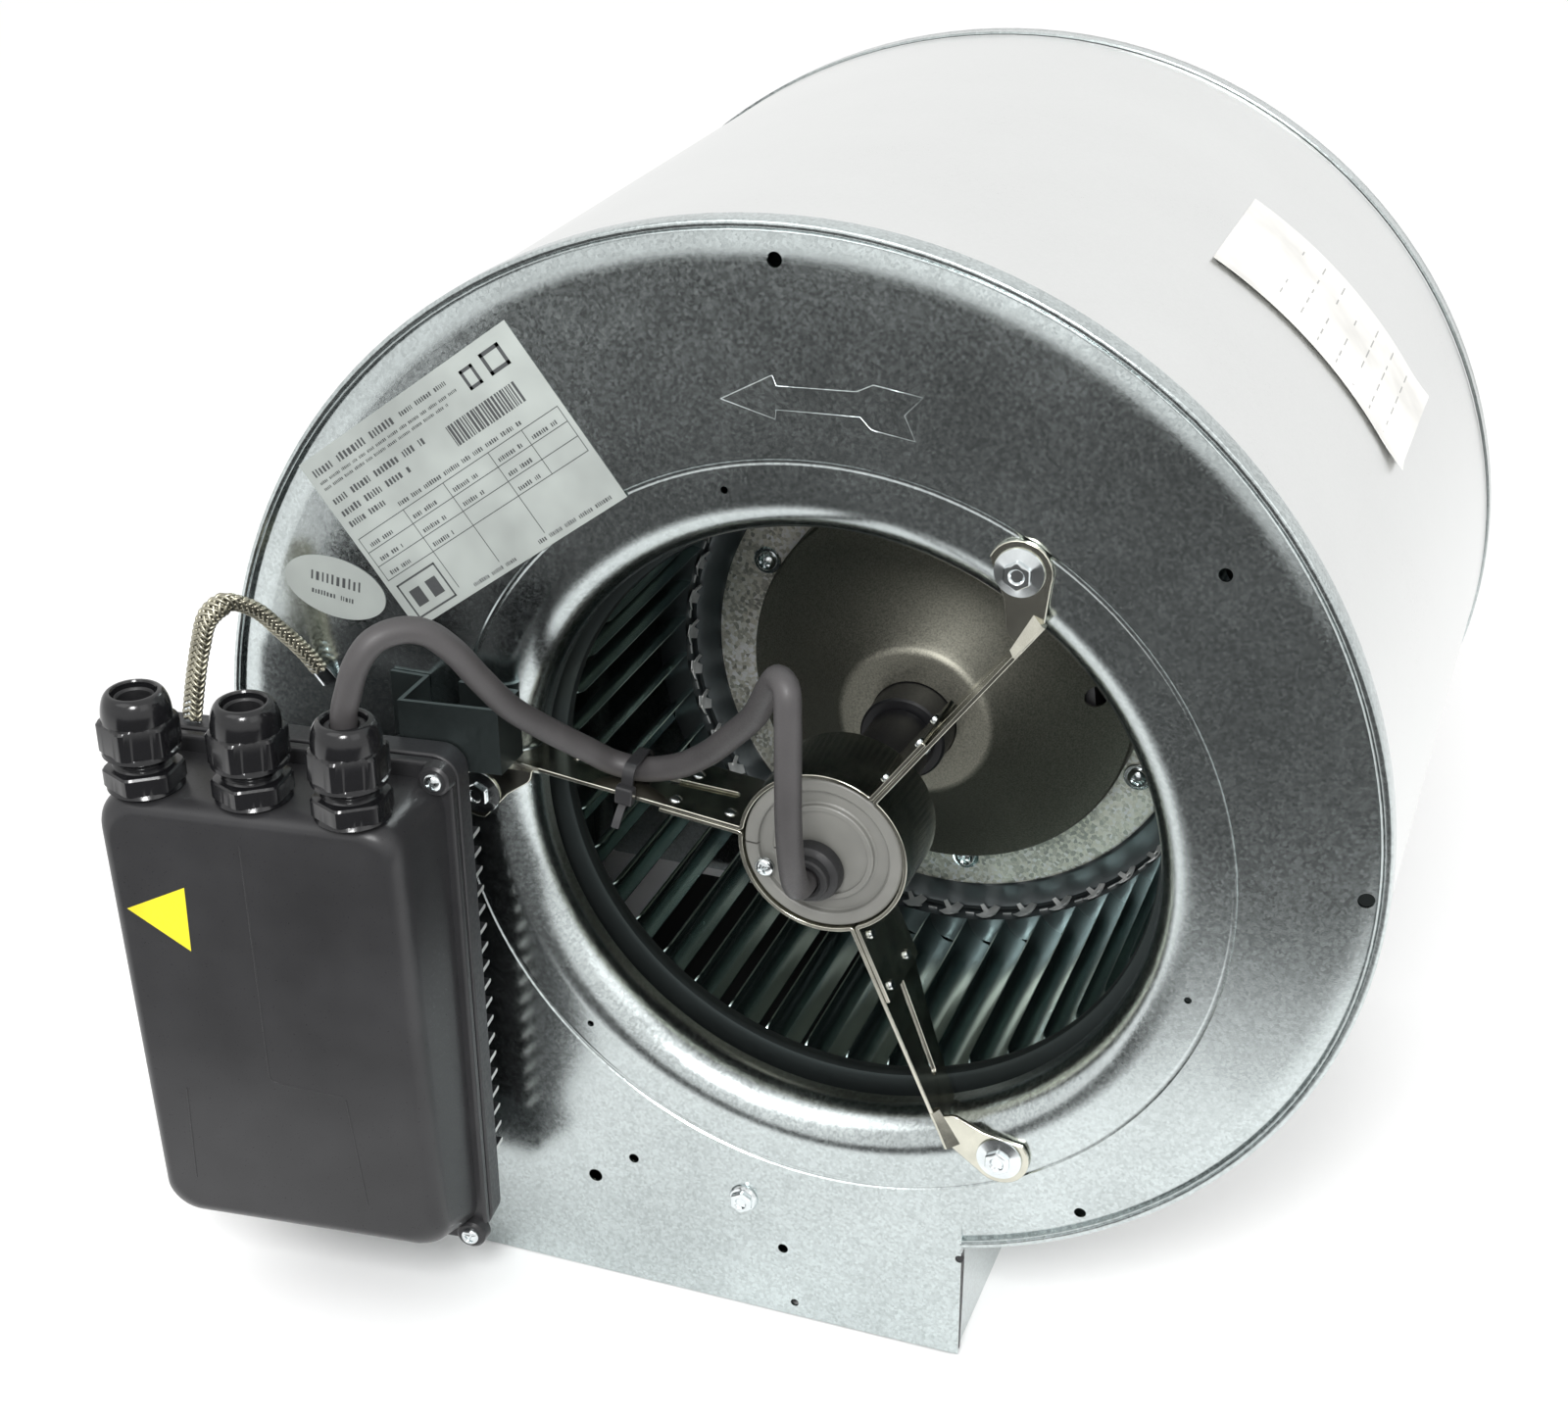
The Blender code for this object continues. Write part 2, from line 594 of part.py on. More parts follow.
def wheel_turning_parts(frame, steel, plastic, dark, zinc, blade_material):
    front = NECK_REAR + 0.4
    seat = BEARING_RADIUS + GAP
    hub = [(SHAFT_RADIUS + 0.5, front), (HUB_RADIUS, front), (HUB_RADIUS, 102.5), (26, 102.5), (26, 106)]
    hub += [(seat, 106), (seat, BEARINGS[0] - GAP), (SHAFT_RADIUS + 0.5, BEARINGS[0] - GAP)]
    mesh_piece("wheel_hub", *turned(hub, 24), frame, plastic)

    plate_front = WHEEL_CENTRE - 0.6
    plate_rear = WHEEL_CENTRE + 0.6
    disc = [(17.0, 99), (29.7, 99), (52, 119.8), (DISC_EDGE, 136)]
    disc += [(DISC_EDGE, plate_rear + GAP), (91, plate_rear + GAP), (91, plate_rear + GAP + 1.2)]
    disc += [(DISC_EDGE - 1.2, plate_rear + GAP + 1.2), (DISC_EDGE - 1.2, 136.8), (51.2, 120.9)]
    disc += [(29.2, 100.4), (17.0, 100.4)]
    dished_disc = mesh_piece("dished_disc", *turned(disc, 30), frame, dark)
    drain = extruded(polygon(on_circle(63.3, 7), 4.0, 12), 110, 140)
    boolean(dished_disc, mesh_piece("drain_hole", *drain, frame), "DIFFERENCE")

    ring = [(DISC_EDGE + GAP, plate_front), (WHEEL_RADIUS, plate_front), (WHEEL_RADIUS, plate_rear)]
    ring += [(DISC_EDGE + GAP, plate_rear)]
    centre_plate = mesh_piece("centre_ring_plate", *turned(ring, 30), frame, zinc)
    holes = merged([extruded(polygon(place, 2.3, 6), 140, 160) for place in disc_bolt_places()])
    boolean(centre_plate, mesh_piece("centre_plate_holes", *holes, frame), "DIFFERENCE")
    boolean(dished_disc, mesh_piece("disc_holes", *holes, frame), "DIFFERENCE")
    for number, place in enumerate(disc_bolt_places()):
        pan_screw("disc_bolt_%d" % (number + 1), place, plate_front, frame, steel, head=4.2, shank=1.9, depth=7)

    for side in ("front", "rear"):
        blade_ring(side, plate_front - GAP, frame, blade_material)


def blade_ring(side, rear_end, frame, material):
    """One half of the wheel: forward-curved blades between an end ring and a band at the centre plate."""
    band = 1.2
    lands = ((WHEEL_FRONT, WHEEL_FRONT + band), (rear_end - band, rear_end))
    rings = []
    for low, high in lands:
        land = [(BLADE_ROOT, low), (WHEEL_RADIUS, low), (WHEEL_RADIUS, high), (BLADE_ROOT, high)]
        rings.append(turned(land, BLADES, start=math.pi / BLADES))
    points, faces = rings[0]
    ring = mesh_piece("blade_ring_" + side, mirrored(points, side), faces, frame, material)
    points, faces = rings[1]
    centre_piece = mesh_piece("centre_band_" + side, mirrored(points, side), faces, frame)

    section = blade_section()
    blade = extruded(section, WHEEL_FRONT + 0.5, rear_end - 0.5)
    blades = merged([(turn_about_axis(blade[0], 360.0 * number / BLADES), blade[1]) for number in range(BLADES)])
    blade_piece = mesh_piece("blades_" + side, mirrored(blades[0], side), blades[1], frame)
    boolean(ring, blade_piece, "UNION")
    boolean(ring, centre_piece, "UNION")
    return ring


def blade_section():
    """A slanted blade across the ring; its tip leads, towards +angle."""
    root = on_circle(BLADE_ROOT + 0.4, 0.0)
    tip = on_circle(WHEEL_RADIUS - 0.6, 3.6)
    half = 0.5
    return [(root[0], root[1] - half), (tip[0], tip[1] - half), (tip[0], tip[1] + half), (root[0], root[1] + half)]


# ---------------------------------------------------------------- drive box


def box_sections(inset, front, corner):
    """Rounded rectangles from the seam to the front face of the cover, shrunk by inset all round."""
    fillet = 9.0
    rings = []
    levels = [BOX_SEAM]
    levels += [front + fillet * (1 - math.sin(math.radians(turn))) for turn in (0, 30, 60, 90)]
    for level in levels:
        share = (level - BOX_SEAM) / (front - BOX_SEAM)
        past = max(0.0, (front + fillet - level) / fillet)
        shrink = inset + fillet * (1 - math.sqrt(max(0.0, 1 - past**2))) * 0.6
        left = -BOX_WIDTH + 3.0 + (FACE_INSET - 3.0) * share + shrink
        right = -3.0 - (FACE_INSET - 3.0) * share - shrink
        top = FACE_TOP - shrink
        bottom = -BOX_HEIGHT / 2 + 4.0 + (FACE_BOTTOM + BOX_HEIGHT / 2 - 4.0) * share + shrink
        outline = rounded_rectangle((left, bottom), (right, top), corner, 4)
        ring = []
        for x, z in outline:
            deeper = FACE_SLOPE * (FACE_TOP - z) / (FACE_TOP - FACE_BOTTOM) * share
            ring.append((x, level + deeper, z))
        rings.append(ring)
    return rings


def drive_cover(frame, material):
    """A deep moulded cover: flange, tapering body with a sloping front, hollow inside, three gland holes."""
    flange = rounded_rectangle((-BOX_WIDTH, -BOX_HEIGHT / 2), (0, BOX_HEIGHT / 2), 9, 3)
    cover = mesh_piece("drive_cover", *extruded(flange, BOX_SEAM - 4.5, BOX_SEAM), frame, material)
    body = box_sections(0.0, -BOX_DEPTH, 12)
    body[0] = [(x, BOX_SEAM - 1.0, z) for x, y, z in body[0]]
    boolean(cover, mesh_piece("cover_body", *swept(body), frame), "UNION")
    hollow = box_sections(3.0, -BOX_DEPTH + 3.0, 9)
    hollow[0] = [(x, BOX_SEAM + 2.0, z) for x, y, z in hollow[0]]
    boolean(cover, mesh_piece("cover_hollow", *swept(hollow), frame), "DIFFERENCE")
    holes = [extruded(polygon((x, y), 9.6, 20), FACE_TOP - 12, FACE_TOP + 10, "z") for x, y in GLANDS]
    holes += [extruded(polygon(place, 1.9, 10), BOX_SEAM - 20, BOX_SEAM + 5) for place in cover_screw_places()]
    boolean(cover, mesh_piece("cover_holes", *merged(holes), frame), "DIFFERENCE")
    return cover


def cover_screw_places():
    x = BOX_WIDTH / 2 - 5.2
    z = BOX_HEIGHT / 2 - 5.2
    return [(-BOX_WIDTH / 2 + a * x, b * z) for a in (1, -1) for b in (1, -1)]


def drive_box(frame, plastic, aluminium, steel, rubber, board, tin):
    drive_cover(frame, plastic)
    rim_low = (-BOX_WIDTH + 1.5, -BOX_HEIGHT / 2 + 1.5)
    rim_high = (-1.5, BOX_HEIGHT / 2 - 1.5)
    gasket = mesh_piece("cover_gasket", *extruded(rounded_rectangle(rim_low, rim_high, 8), BOX_SEAM + 0.3,
                                                  BOX_SEAM + 1.3), frame, rubber)
    opening = rounded_rectangle((-BOX_WIDTH + 9, -BOX_HEIGHT / 2 + 9), (-9, BOX_HEIGHT / 2 - 9), 4)
    boolean(gasket, mesh_piece("gasket_opening", *extruded(opening, BOX_SEAM - 5, BOX_SEAM + 5), frame), "DIFFERENCE")
    screw_holes = merged([extruded(polygon(place, 1.9, 10), BOX_SEAM - 5, -3) for place in cover_screw_places()])
    boolean(gasket, mesh_piece("gasket_holes", *screw_holes, frame), "DIFFERENCE")

    outline = rounded_rectangle((-BOX_WIDTH, -BOX_HEIGHT / 2), (0, BOX_HEIGHT / 2), 9)
    sink = mesh_piece("heat_sink", *extruded(outline, BOX_SEAM + 1.6, 0.0), frame, aluminium)
    fins = []
    for number in range(18):
        z = 64.0 - 8.0 * number
        fins.append(extruded([(-1.0, z - 1.1), (-1.0, z + 1.1), (8.5, z + 0.7), (8.5, z - 0.7)], -112, -1, "x"))
    boolean(sink, mesh_piece("fins", *merged(fins), frame), "UNION")
    boolean(sink, mesh_piece("sink_holes", *screw_holes, frame), "DIFFERENCE")
    for number, place in enumerate(cover_screw_places()):
        pan_screw("cover_screw_%d" % (number + 1), place, BOX_SEAM - 4.5, frame, steel, head=3.6, shank=1.6, depth=11)

    floor = BOX_SEAM + 1.6 - GAP
    board_outline = rounded_rectangle((-108, -88), (-14, 62), 2, 1)
    mesh_piece("circuit_board", *extruded(board_outline, floor - 4.6, floor - 3.0), frame, board)
    can = turned([(0, floor - 31), (12, floor - 31), (12.5, floor - 30), (12.5, floor - 4.9), (0, floor - 4.9)], 20,
                 axis=(-84, -40))
    mesh_piece("capacitor", *can, frame, tin)
    block = rounded_rectangle((-60, 36), (-20, 50), 1.5, 1)
    mesh_piece("terminal_block", *extruded(block, floor - 19, floor - 4.9), frame, plastic)


def gland(number, frame, material):
    """Body with hex collar and thread through the cover, and a domed hex nut above it."""
    x, y = GLANDS[number]
    bore = CABLE_RADIUS + GAP + 0.15 if number == CABLE_GLAND else 6.0
    base = FACE_TOP + GAP

    def along_z(profile, sides):
        points, faces = turned([(radius, z) for radius, z in profile], sides)
        return [(x + px, y + pz, py) for px, py, pz in points], faces

    hexagon = 14.0
    body = [(bore, base - 9), (9.2, base - 9), (9.2, base), (hexagon, base), (hexagon, base + 7), (10, base + 8)]
    body += [(10, base + 12.5), (bore, base + 12.5)]
    mesh_piece("gland_body_%d" % (number + 1), *along_z(body, 10), frame, material)
    start = base + 12.5 + GAP
    nut = [(bore, start), (hexagon, start), (hexagon, start + 12), (12.6, start + 13), (11.4, start + 19)]
    nut += [(8.6, start + 22.5), (bore + 0.8, start + 23), (bore, start + 22)]
    mesh_piece("gland_nut_%d" % (number + 1), *along_z(nut, 10), frame, material)


def box_to_fan(x, y, z):
    """A point of the drive box's frame in the fan frame."""
    turn = Matrix.Rotation(math.radians(BOX_YAW), 3, "Z")
    return tuple(Vector(BOX_ORIGIN) + turn @ Vector((x, y, z)))


def box_bracket(name, low, high, left, right, left_foot, frame, material):
    """A sheet strip behind the box, its two unequal legs bent back to feet on the side plate.

    left_foot is how far the left foot runs to the right of its leg, or to the left when it is negative."""
    sheet = 1.6
    behind = GAP + sheet / 2
    foot_y = -GAP - sheet / 2
    right_end = box_to_fan(right, behind, 0)
    left_end = box_to_fan(left, behind, 0)
    line = [(right_end[0] - 22, foot_y), (right_end[0], foot_y), right_end[:2], left_end[:2]]
    line += [(left_end[0], foot_y), (left_end[0] + left_foot, foot_y)]
    points, faces = extruded(strip_outline(line, sheet), BOX_ORIGIN[2] + low, BOX_ORIGIN[2] + high, "z")
    mesh_piece(name, points, faces, frame, material)


# ---------------------------------------------------------------- cable, braid and stickers


def cable_route():
    """From inside the third gland, up and over, down to the left arm and round into the motor's grommet."""
    x, y = GLANDS[CABLE_GLAND]
    up = [box_to_fan(x, y, FACE_TOP + height) for height in (-10, 8, 24, 37)]
    over = [(-139.8, -67, 67), (-136.5, -65.5, 77.5), (-131.8, -62, 84.9), (-126, -56, 87), (-120, -50, 85)]
    down = [(-114.3, -43, 76.6), (-109.2, -34, 62.2), (-104, -24, 47.7), (-96, -12, 34.6), (-87, -1, 23.1)]
    along_arm = [(-80.6, 4.5, 16.8), (-71.1, 6, 15.0), (-56.5, 4, 19.5), (-42.9, -1, 29.2)]
    rise = [(-28.8, -9, 43.9), (-19, -16, 55.6), (-10.4, -25, 71), (-5, -31, 78.5), (-0.5, -36, 78)]
    fall = [(0.5, -37.5, 68), (0.3, -37, 50), (0, -36, 28), (-0.6, -31.5, 10), (-1.8, -24, -1.5)]
    x, z = GROMMET
    return up + over + down + along_arm + rise + fall + [(x, -15, z), (x, -6, z), (x, 6, z)]


def cable_tie(frame, material):
    """A band round the cable and the front edge of the left arm, through the arm's slot."""
    start = 69.5
    width = 4.6
    outline = rounded_rectangle((-13.8, -5.9), (1.4, 12.3), 2.2, 2)
    hollow = rounded_rectangle((-12.6, -4.7), (0.2, 11.1), 0.8, 2)
    angle = ARM_ANGLES[1]

    def placed(outline, low, high):
        points, faces = extruded(outline, low, high, "z")
        return turn_about_axis([(along, depth, across) for across, depth, along in points], angle), faces

    tie = mesh_piece("cable_tie", *placed(outline, start, start + width), frame, material)
    boolean(tie, mesh_piece("cable_tie_hollow", *placed(hollow, start - 5, start + 10), frame), "DIFFERENCE")


def label(name, centre, size, turn, frame, material, sides=0):
    """A thin sticker on the front side plate: a rectangle, or a polygon when sides is given."""
    half = (size[0] / 2, size[1] / 2)
    if sides:
        outline = [(half[0] * a, half[1] * b) for a, b in polygon((0, 0), 1.0, sides)]
    else:
        outline = rounded_rectangle((-half[0], -half[1]), half, 1.5, 2)
    points, faces = extruded(outline, -GAP - 0.25, -GAP)
    moved = [(x + centre[0], y, z + centre[1]) for x, y, z in turn_about_axis(points, turn)]
    mesh_piece(name, moved, faces, frame, material)


def wrap_label(frame, material):
    """A paper label bent over the second arc of the wrap, a little askew."""
    centre = (SCROLL_CENTRE[0] - SCROLL_STEP, SCROLL_CENTRE[1])
    radius = SCROLL_RADIUS + SCROLL_STEP - 1.2
    skew = math.tan(math.radians(7.0))
    rings = []
    for step in range(9):
        share = step / 8
        angle = math.radians(57.0 - 28.5 * share)
        low = 114.0 + skew * 98.0 * share
        ring = []
        for lift, y in ((0.35, low), (0.65, low), (0.65, low + 79), (0.35, low + 79)):
            x = centre[0] + (radius + lift) * math.cos(angle)
            z = centre[1] + (radius + lift) * math.sin(angle)
            ring.append((x, y, z))
        rings.append(ring)
    mesh_piece("wrap_label", *swept(rings), frame, material)


def hazard_sticker(frame, material):
    """A plain three-sided sticker on the sloping front of the cover."""
    slope = FACE_SLOPE / (FACE_TOP - FACE_BOTTOM)
    rings = []
    for lift in (0.35, 0.6):
        ring = []
        for x, z in ((-108.5, 52.0), (-86.5, 37.0), (-85.0, 64.0)):
            ring.append((x, -BOX_DEPTH + slope * (FACE_TOP - z) - lift, z))
        rings.append(ring)
    mesh_piece("triangle_sticker", *swept(rings), frame, material)


# ---------------------------------------------------------------- the whole blower


def rest_on_ground(frame):
    """Moves the fan frame so that the blower's box stands on the origin by its bottom centre."""
    bpy.context.view_layer.update()
    shapes = bpy.context.evaluated_depsgraph_get()
    lows = [math.inf] * 3
    highs = [-math.inf] * 3
    for piece in bpy.data.objects:
        if piece.type == "EMPTY" or piece.hide_render:
            continue
        shape = piece.evaluated_get(shapes)
        for vertex in shape.to_mesh().vertices:
            place = piece.matrix_world @ vertex.co
            lows = [min(low, value) for low, value in zip(lows, place)]
            highs = [max(high, value) for high, value in zip(highs, place)]
        shape.to_mesh_clear()
    middle = [(low + high) / 2 for low, high in zip(lows, highs)]
    frame.location = [-round(middle[0], 4), -round(middle[1], 4), -round(lows[2], 4)]
    print("wheel axis at", tuple(frame.location))


def main():
    clear_scene()
    zinc = make_material("galvanised_sheet", (0.62, 0.64, 0.65), 0.28, 1.0)
    zinc_wheel = make_material("galvanised_ring", (0.42, 0.43, 0.41), 0.45, 1.0)
    blade_sheet = make_material("blade_sheet", (0.20, 0.25, 0.26), 0.3, 1.0)
    yellow_zinc = make_material("yellow_zinc", (0.66, 0.64, 0.52), 0.3, 1.0)
    bright_steel = make_material("bright_zinc_screw", (0.7, 0.71, 0.72), 0.22, 1.0)
    shaft_steel = make_material("ground_steel", (0.55, 0.56, 0.57), 0.25, 1.0)
    laminations = make_material("laminations", (0.25, 0.25, 0.26), 0.5, 0.9)
    copper = make_material("stator_copper", (0.45, 0.25, 0.16), 0.4, 0.9)
    motor_grey = make_material("motor_grey", (0.42, 0.42, 0.41), 0.45, 0.6)
    dark_paint = make_material("dark_disc_paint", (0.05, 0.05, 0.05), 0.4, 0.4)
    blackened = make_material("blackened_steel", (0.012, 0.012, 0.013), 0.4, 0.3)
    black_plastic = make_material("black_plastic", (0.018, 0.018, 0.02), 0.38, 0.0)
    black_aluminium = make_material("black_aluminium", (0.05, 0.05, 0.055), 0.4, 0.7)
    black_rubber = make_material("black_rubber", (0.03, 0.03, 0.03), 0.6, 0.0)
    cable_grey = make_material("cable_sheath", (0.09, 0.085, 0.09), 0.5, 0.0)
    board_green = make_material("circuit_board", (0.03, 0.16, 0.07), 0.4, 0.0)
    tin = make_material("capacitor_can", (0.6, 0.6, 0.62), 0.3, 0.9)
    braid_metal = make_material("tinned_braid", (0.6, 0.58, 0.52), 0.35, 1.0)
    paper = make_material("label_film", (0.8, 0.81, 0.8), 0.45, 0.0)
    yellow = make_material("sticker_yellow", (0.8, 0.66, 0.02), 0.4, 0.0)

    fan = make_frame("fan_frame", (0, 0, 0))
    box = make_frame("drive_box_frame", BOX_ORIGIN, BOX_YAW)
    box.parent = fan
    wheel = make_frame("wheel_axis", (0, 0, 0))
    wheel.parent = fan

    scroll_wrap(fan, zinc)
    side_plate("front", fan, zinc)
    side_plate("rear", fan, zinc)
    cutoff_plate(fan, zinc)
    hex_screw("outlet_screw", OUTLET_SCREW, 0.0, fan, bright_steel, across=8.0, flange=5.5, shank=2.0, depth=9)

    for number in range(3):
        support_strap(number, fan, yellow_zinc, bright_steel)
        place = on_circle(BOLT_RADIUS, ARM_ANGLES[number] + BOLT_TURN)
        hex_screw("support_bolt_%d" % (number + 1), place, -GAP - ARM_SHEET, fan, bright_steel, across=10.0,
                  flange=7.5, shank=2.8, depth=14)
    shaft_support(fan, motor_grey, bright_steel, blackened, black_rubber)
    motor(fan, wheel, shaft_steel, copper, laminations, dark_paint)
    wheel_turning_parts(wheel, bright_steel, blackened, dark_paint, zinc_wheel, blade_sheet)

    drive_box(box, black_plastic, black_aluminium, bright_steel, black_rubber, board_green, tin)
    for number in range(3):
        gland(number, box, black_plastic)
    box_bracket("box_bracket_upper", 91, 116, -24, 11, -14, fan, zinc)
    box_bracket("box_bracket_lower", -100, -78, -95, -25, 14, fan, zinc)

    tube("motor_cable", cable_route(), CABLE_RADIUS, 40, fan, cable_grey)
    cable_tie(fan, black_plastic)
    braid = [box_to_fan(-100, -6, 103.5), (-220.5, -34, 45), (-219, -31, 56), (-216, -29, 66), (-210.5, -25, 70.5)]
    braid += [(-204.5, -18, 66), (-199, -11.5, 56), (-193.5, -5.5, 45), (-190, -3.2, 38)]
    tube("earth_braid", braid, 2.7, 16, fan, braid_metal)

    label("rating_label", (-130.2, 117.0), (102.0, 69.0), 36.5, fan, paper)
    label("oval_sticker", (-182.2, 70.1), (40.0, 23.0), -8.0, fan, paper, sides=24)
    wrap_label(fan, paper)
    hazard_sticker(box, yellow)
    rest_on_ground(fan)


main()
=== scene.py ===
"""Looks of the double-inlet blower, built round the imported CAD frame.

Every shape is written in millimetres in the fan frame: origin on the wheel's axis in the plane of the front
side plate, +X right, +Y to the rear, +Z up.  place() turns it into the row frame.
"""

import json
import math
import random

import bmesh
import bpy
from mathutils import Matrix, Vector
from mathutils.geometry import tessellate_polygon


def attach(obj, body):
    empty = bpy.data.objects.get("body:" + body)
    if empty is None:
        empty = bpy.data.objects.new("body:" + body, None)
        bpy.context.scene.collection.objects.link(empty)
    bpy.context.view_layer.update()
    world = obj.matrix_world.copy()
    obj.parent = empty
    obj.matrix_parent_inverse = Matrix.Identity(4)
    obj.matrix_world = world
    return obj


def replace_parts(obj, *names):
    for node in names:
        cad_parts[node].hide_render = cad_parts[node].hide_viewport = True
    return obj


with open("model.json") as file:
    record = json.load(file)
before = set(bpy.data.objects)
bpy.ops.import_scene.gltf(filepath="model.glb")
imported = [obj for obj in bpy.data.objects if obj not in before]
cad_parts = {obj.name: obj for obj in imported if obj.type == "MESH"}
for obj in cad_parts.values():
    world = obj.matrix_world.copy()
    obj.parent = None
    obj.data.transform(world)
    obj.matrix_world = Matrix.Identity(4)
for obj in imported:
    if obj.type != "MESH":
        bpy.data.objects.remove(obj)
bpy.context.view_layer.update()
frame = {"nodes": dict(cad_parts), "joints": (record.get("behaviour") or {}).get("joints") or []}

MM = 0.001
AXIS = Vector(frame["joints"][0]["pos_m"])
random.seed(7)

# Sizes shared with the CAD model
SPACING = 298.0
SHEET = 1.0
EDGE_ROLL = 13.0  # width of the side plates' edge that falls back to the rim
SCROLL_STEP = 19.0
SCROLL_RADIUS = 180.5
SCROLL_CENTRE = (6.5, 16.5)
OUTLET_RIGHT = 52.6
OUTLET_BOTTOM = -209.1
INLET_STEP = 139.0
INLET_FLAT = 128.0
THROAT = 112.5
ARM_ANGLES = (53.3, 173.3, 293.3)
BOLT_TURN = 7.1
BOLT_CIRCLE = 130.0
BAND_RADIUS = 28.8
BAND_REAR = 29.0
ARM_SHEET = 1.5
ARM_SLOT = ((39.0, 14.8), (96.0, 8.6))  # ends of the slot: radius and depth
FLANGE_END = 60.0  # radius where an arm's return flange ends
RIVETS = ((36.0, 3.0), (56.0, 1.5), (55.0, 20.5))  # radius and depth; the second is the CAD strap screw
BUSH_RADIUS = 28.4
BUSH_REAR = 28.6
NECK_RADIUS = 12.7
NECK_REAR = 84.2
SHAFT_RADIUS = 9.0
SHAFT_REAR = 182.0
HUB_RADIUS = 16.4
ROTOR_CAN_REAR = 176.0
GROMMET = (-3.0, -6.0)
CAP_SCREW = (-20.8, -9.2)
CABLE_RADIUS = 4.5
WHEEL_RADIUS = 121.0
BLADE_ROOT = 109.0
BLADES = 43
PITCH = 360.0 / BLADES
WHEEL_FRONT = 27.0
WHEEL_CENTRE = SPACING / 2
BLADE_END = 140.5
BLADE_REAR = 161.0  # front end of the rear blades, from the front plate
DISC_EDGE = 77.2
DISC_FLANGE = 91.0
DISC_BOLT_CIRCLE = 84.0
DISC_BOLT_TURN = -24.4
RING_BEND = 97.0  # radius where the centre ring plate steps up to the blades
BOX_ORIGIN = Vector((-124.1, -19.0, -74.3))
BOX_YAW = 6.55
BOX_WIDTH = 120.7
BOX_HEIGHT = 204.6
BOX_DEPTH = 54.5
BOX_SEAM = -12.0
FACE_TOP = 96.1
FACE_BOTTOM = -85.1
FACE_INSET = 5.4
FACE_SLOPE = 9.5
GLANDS = ((-100.3, -41.6), (-61.1, -40.8), (-23.6, -45.0))  # the cable goes into the last one

LABEL_SHEET = 0.1
LABEL_GAP = 0.12  # between the front plate and the back of its labels
SHARP = 28  # degrees between two faces above which their edge stays sharp
HEX_SHARP = 24  # the same for hexagons, whose chamfers are slight
SOFT = 40  # degrees between two faces above which soften rounds their edge
MATERIALS = {}  # filled by make_materials


# ---- shapes


def place(point):
    return AXIS + MM * Vector(point)


def box_point(point):
    """A point of the drive box's frame in the fan frame."""
    return BOX_ORIGIN + Matrix.Rotation(math.radians(BOX_YAW), 3, "Z") @ Vector(point)


def piece(name, shape, look, body="housing", local=None, sharp=SHARP):
    """A named mesh from (points, faces) with one of the materials, riding on a CAD body."""
    points, faces = shape
    if local:
        points = [local(point) for point in points]
    mesh = bpy.data.meshes.new(name)
    mesh.from_pydata([place(point) for point in points], [], faces)
    shaped = bmesh.new()
    shaped.from_mesh(mesh)
    bmesh.ops.recalc_face_normals(shaped, faces=shaped.faces)
    shaped.to_mesh(mesh)
    shaped.free()
    mesh.shade_smooth()
    mesh.set_sharp_from_angle(angle=math.radians(sharp))
    thing = bpy.data.objects.new(name, mesh)
    bpy.context.collection.objects.link(thing)
    if look:
        mesh.materials.append(MATERIALS[look])
    if body:
        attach(thing, body)
    return thing


def cut(thing, tools):
    """Cuts closed shapes from the piece and keeps the result as its mesh."""
    cutter = piece(thing.name + "_cutter", merged(tools), None, None)
    modifier = thing.modifiers.new("cut", "BOOLEAN")
    modifier.object = cutter
    modifier.operation = "DIFFERENCE"
    modifier.solver = "EXACT"
    bpy.context.view_layer.update()
    shapes = bpy.context.evaluated_depsgraph_get()
    mesh = bpy.data.meshes.new_from_object(thing.evaluated_get(shapes))
    thing.modifiers.clear()
    thing.data = mesh
    mesh.shade_smooth()
    mesh.set_sharp_from_angle(angle=math.radians(SHARP))
    bpy.data.objects.remove(cutter)


def soften(thing, width, segments=2):
    """Rounds the piece's hard edges."""
    modifier = thing.modifiers.new("soft edges", "BEVEL")
    modifier.width = MM * width
    modifier.segments = segments
    modifier.limit_method = "ANGLE"
    modifier.angle_limit = math.radians(SOFT)


def second_material(thing, look, chosen):
    """Gives another material to the faces chosen by their place from the wheel's axis and their direction."""
    thing.data.materials.append(MATERIALS[look])
    for face in thing.data.polygons:
        if chosen(face.center - AXIS, face.normal):
            face.material_index = 1


def merged(shapes):
    points = []
    faces = []
    for shape_points, shape_faces in shapes:
        first = len(points)
        points += list(shape_points)
        faces += [[first + corner for corner in face] for face in shape_faces]
    return points, faces


def cos(degrees):
    return math.cos(math.radians(degrees))


def sin(degrees):
    return math.sin(math.radians(degrees))


def raised(level, profile):
    """The profile's rows of (radius, y) moved along Y to a level."""
    return [(row[0], level + row[1], *row[2:]) for row in profile]


def on_circle(radius, degrees, centre=(0.0, 0.0)):
    return (centre[0] + radius * cos(degrees), centre[1] + radius * sin(degrees))


def rotated(point, degrees, centre):
    """A point (a, b) turned by some degrees and set down round the centre."""
    a, b = point
    c, s = cos(degrees), sin(degrees)
    return (centre[0] + a * c - b * s, centre[1] + a * s + b * c)


def arc(centre, radius, start, end, steps):
    return [on_circle(radius, start + (end - start) * step / steps, centre) for step in range(steps + 1)]


def circle(centre, radius, sides, turn=0.0):
    return [on_circle(radius, turn + 360.0 * side / sides, centre) for side in range(sides)]


def capsule(start, end, radius, steps=8):
    turn = math.degrees(math.atan2(end[1] - start[1], end[0] - start[0]))
    return arc(end, radius, turn - 90, turn + 90, steps) + arc(start, radius, turn + 90, turn + 270, steps)


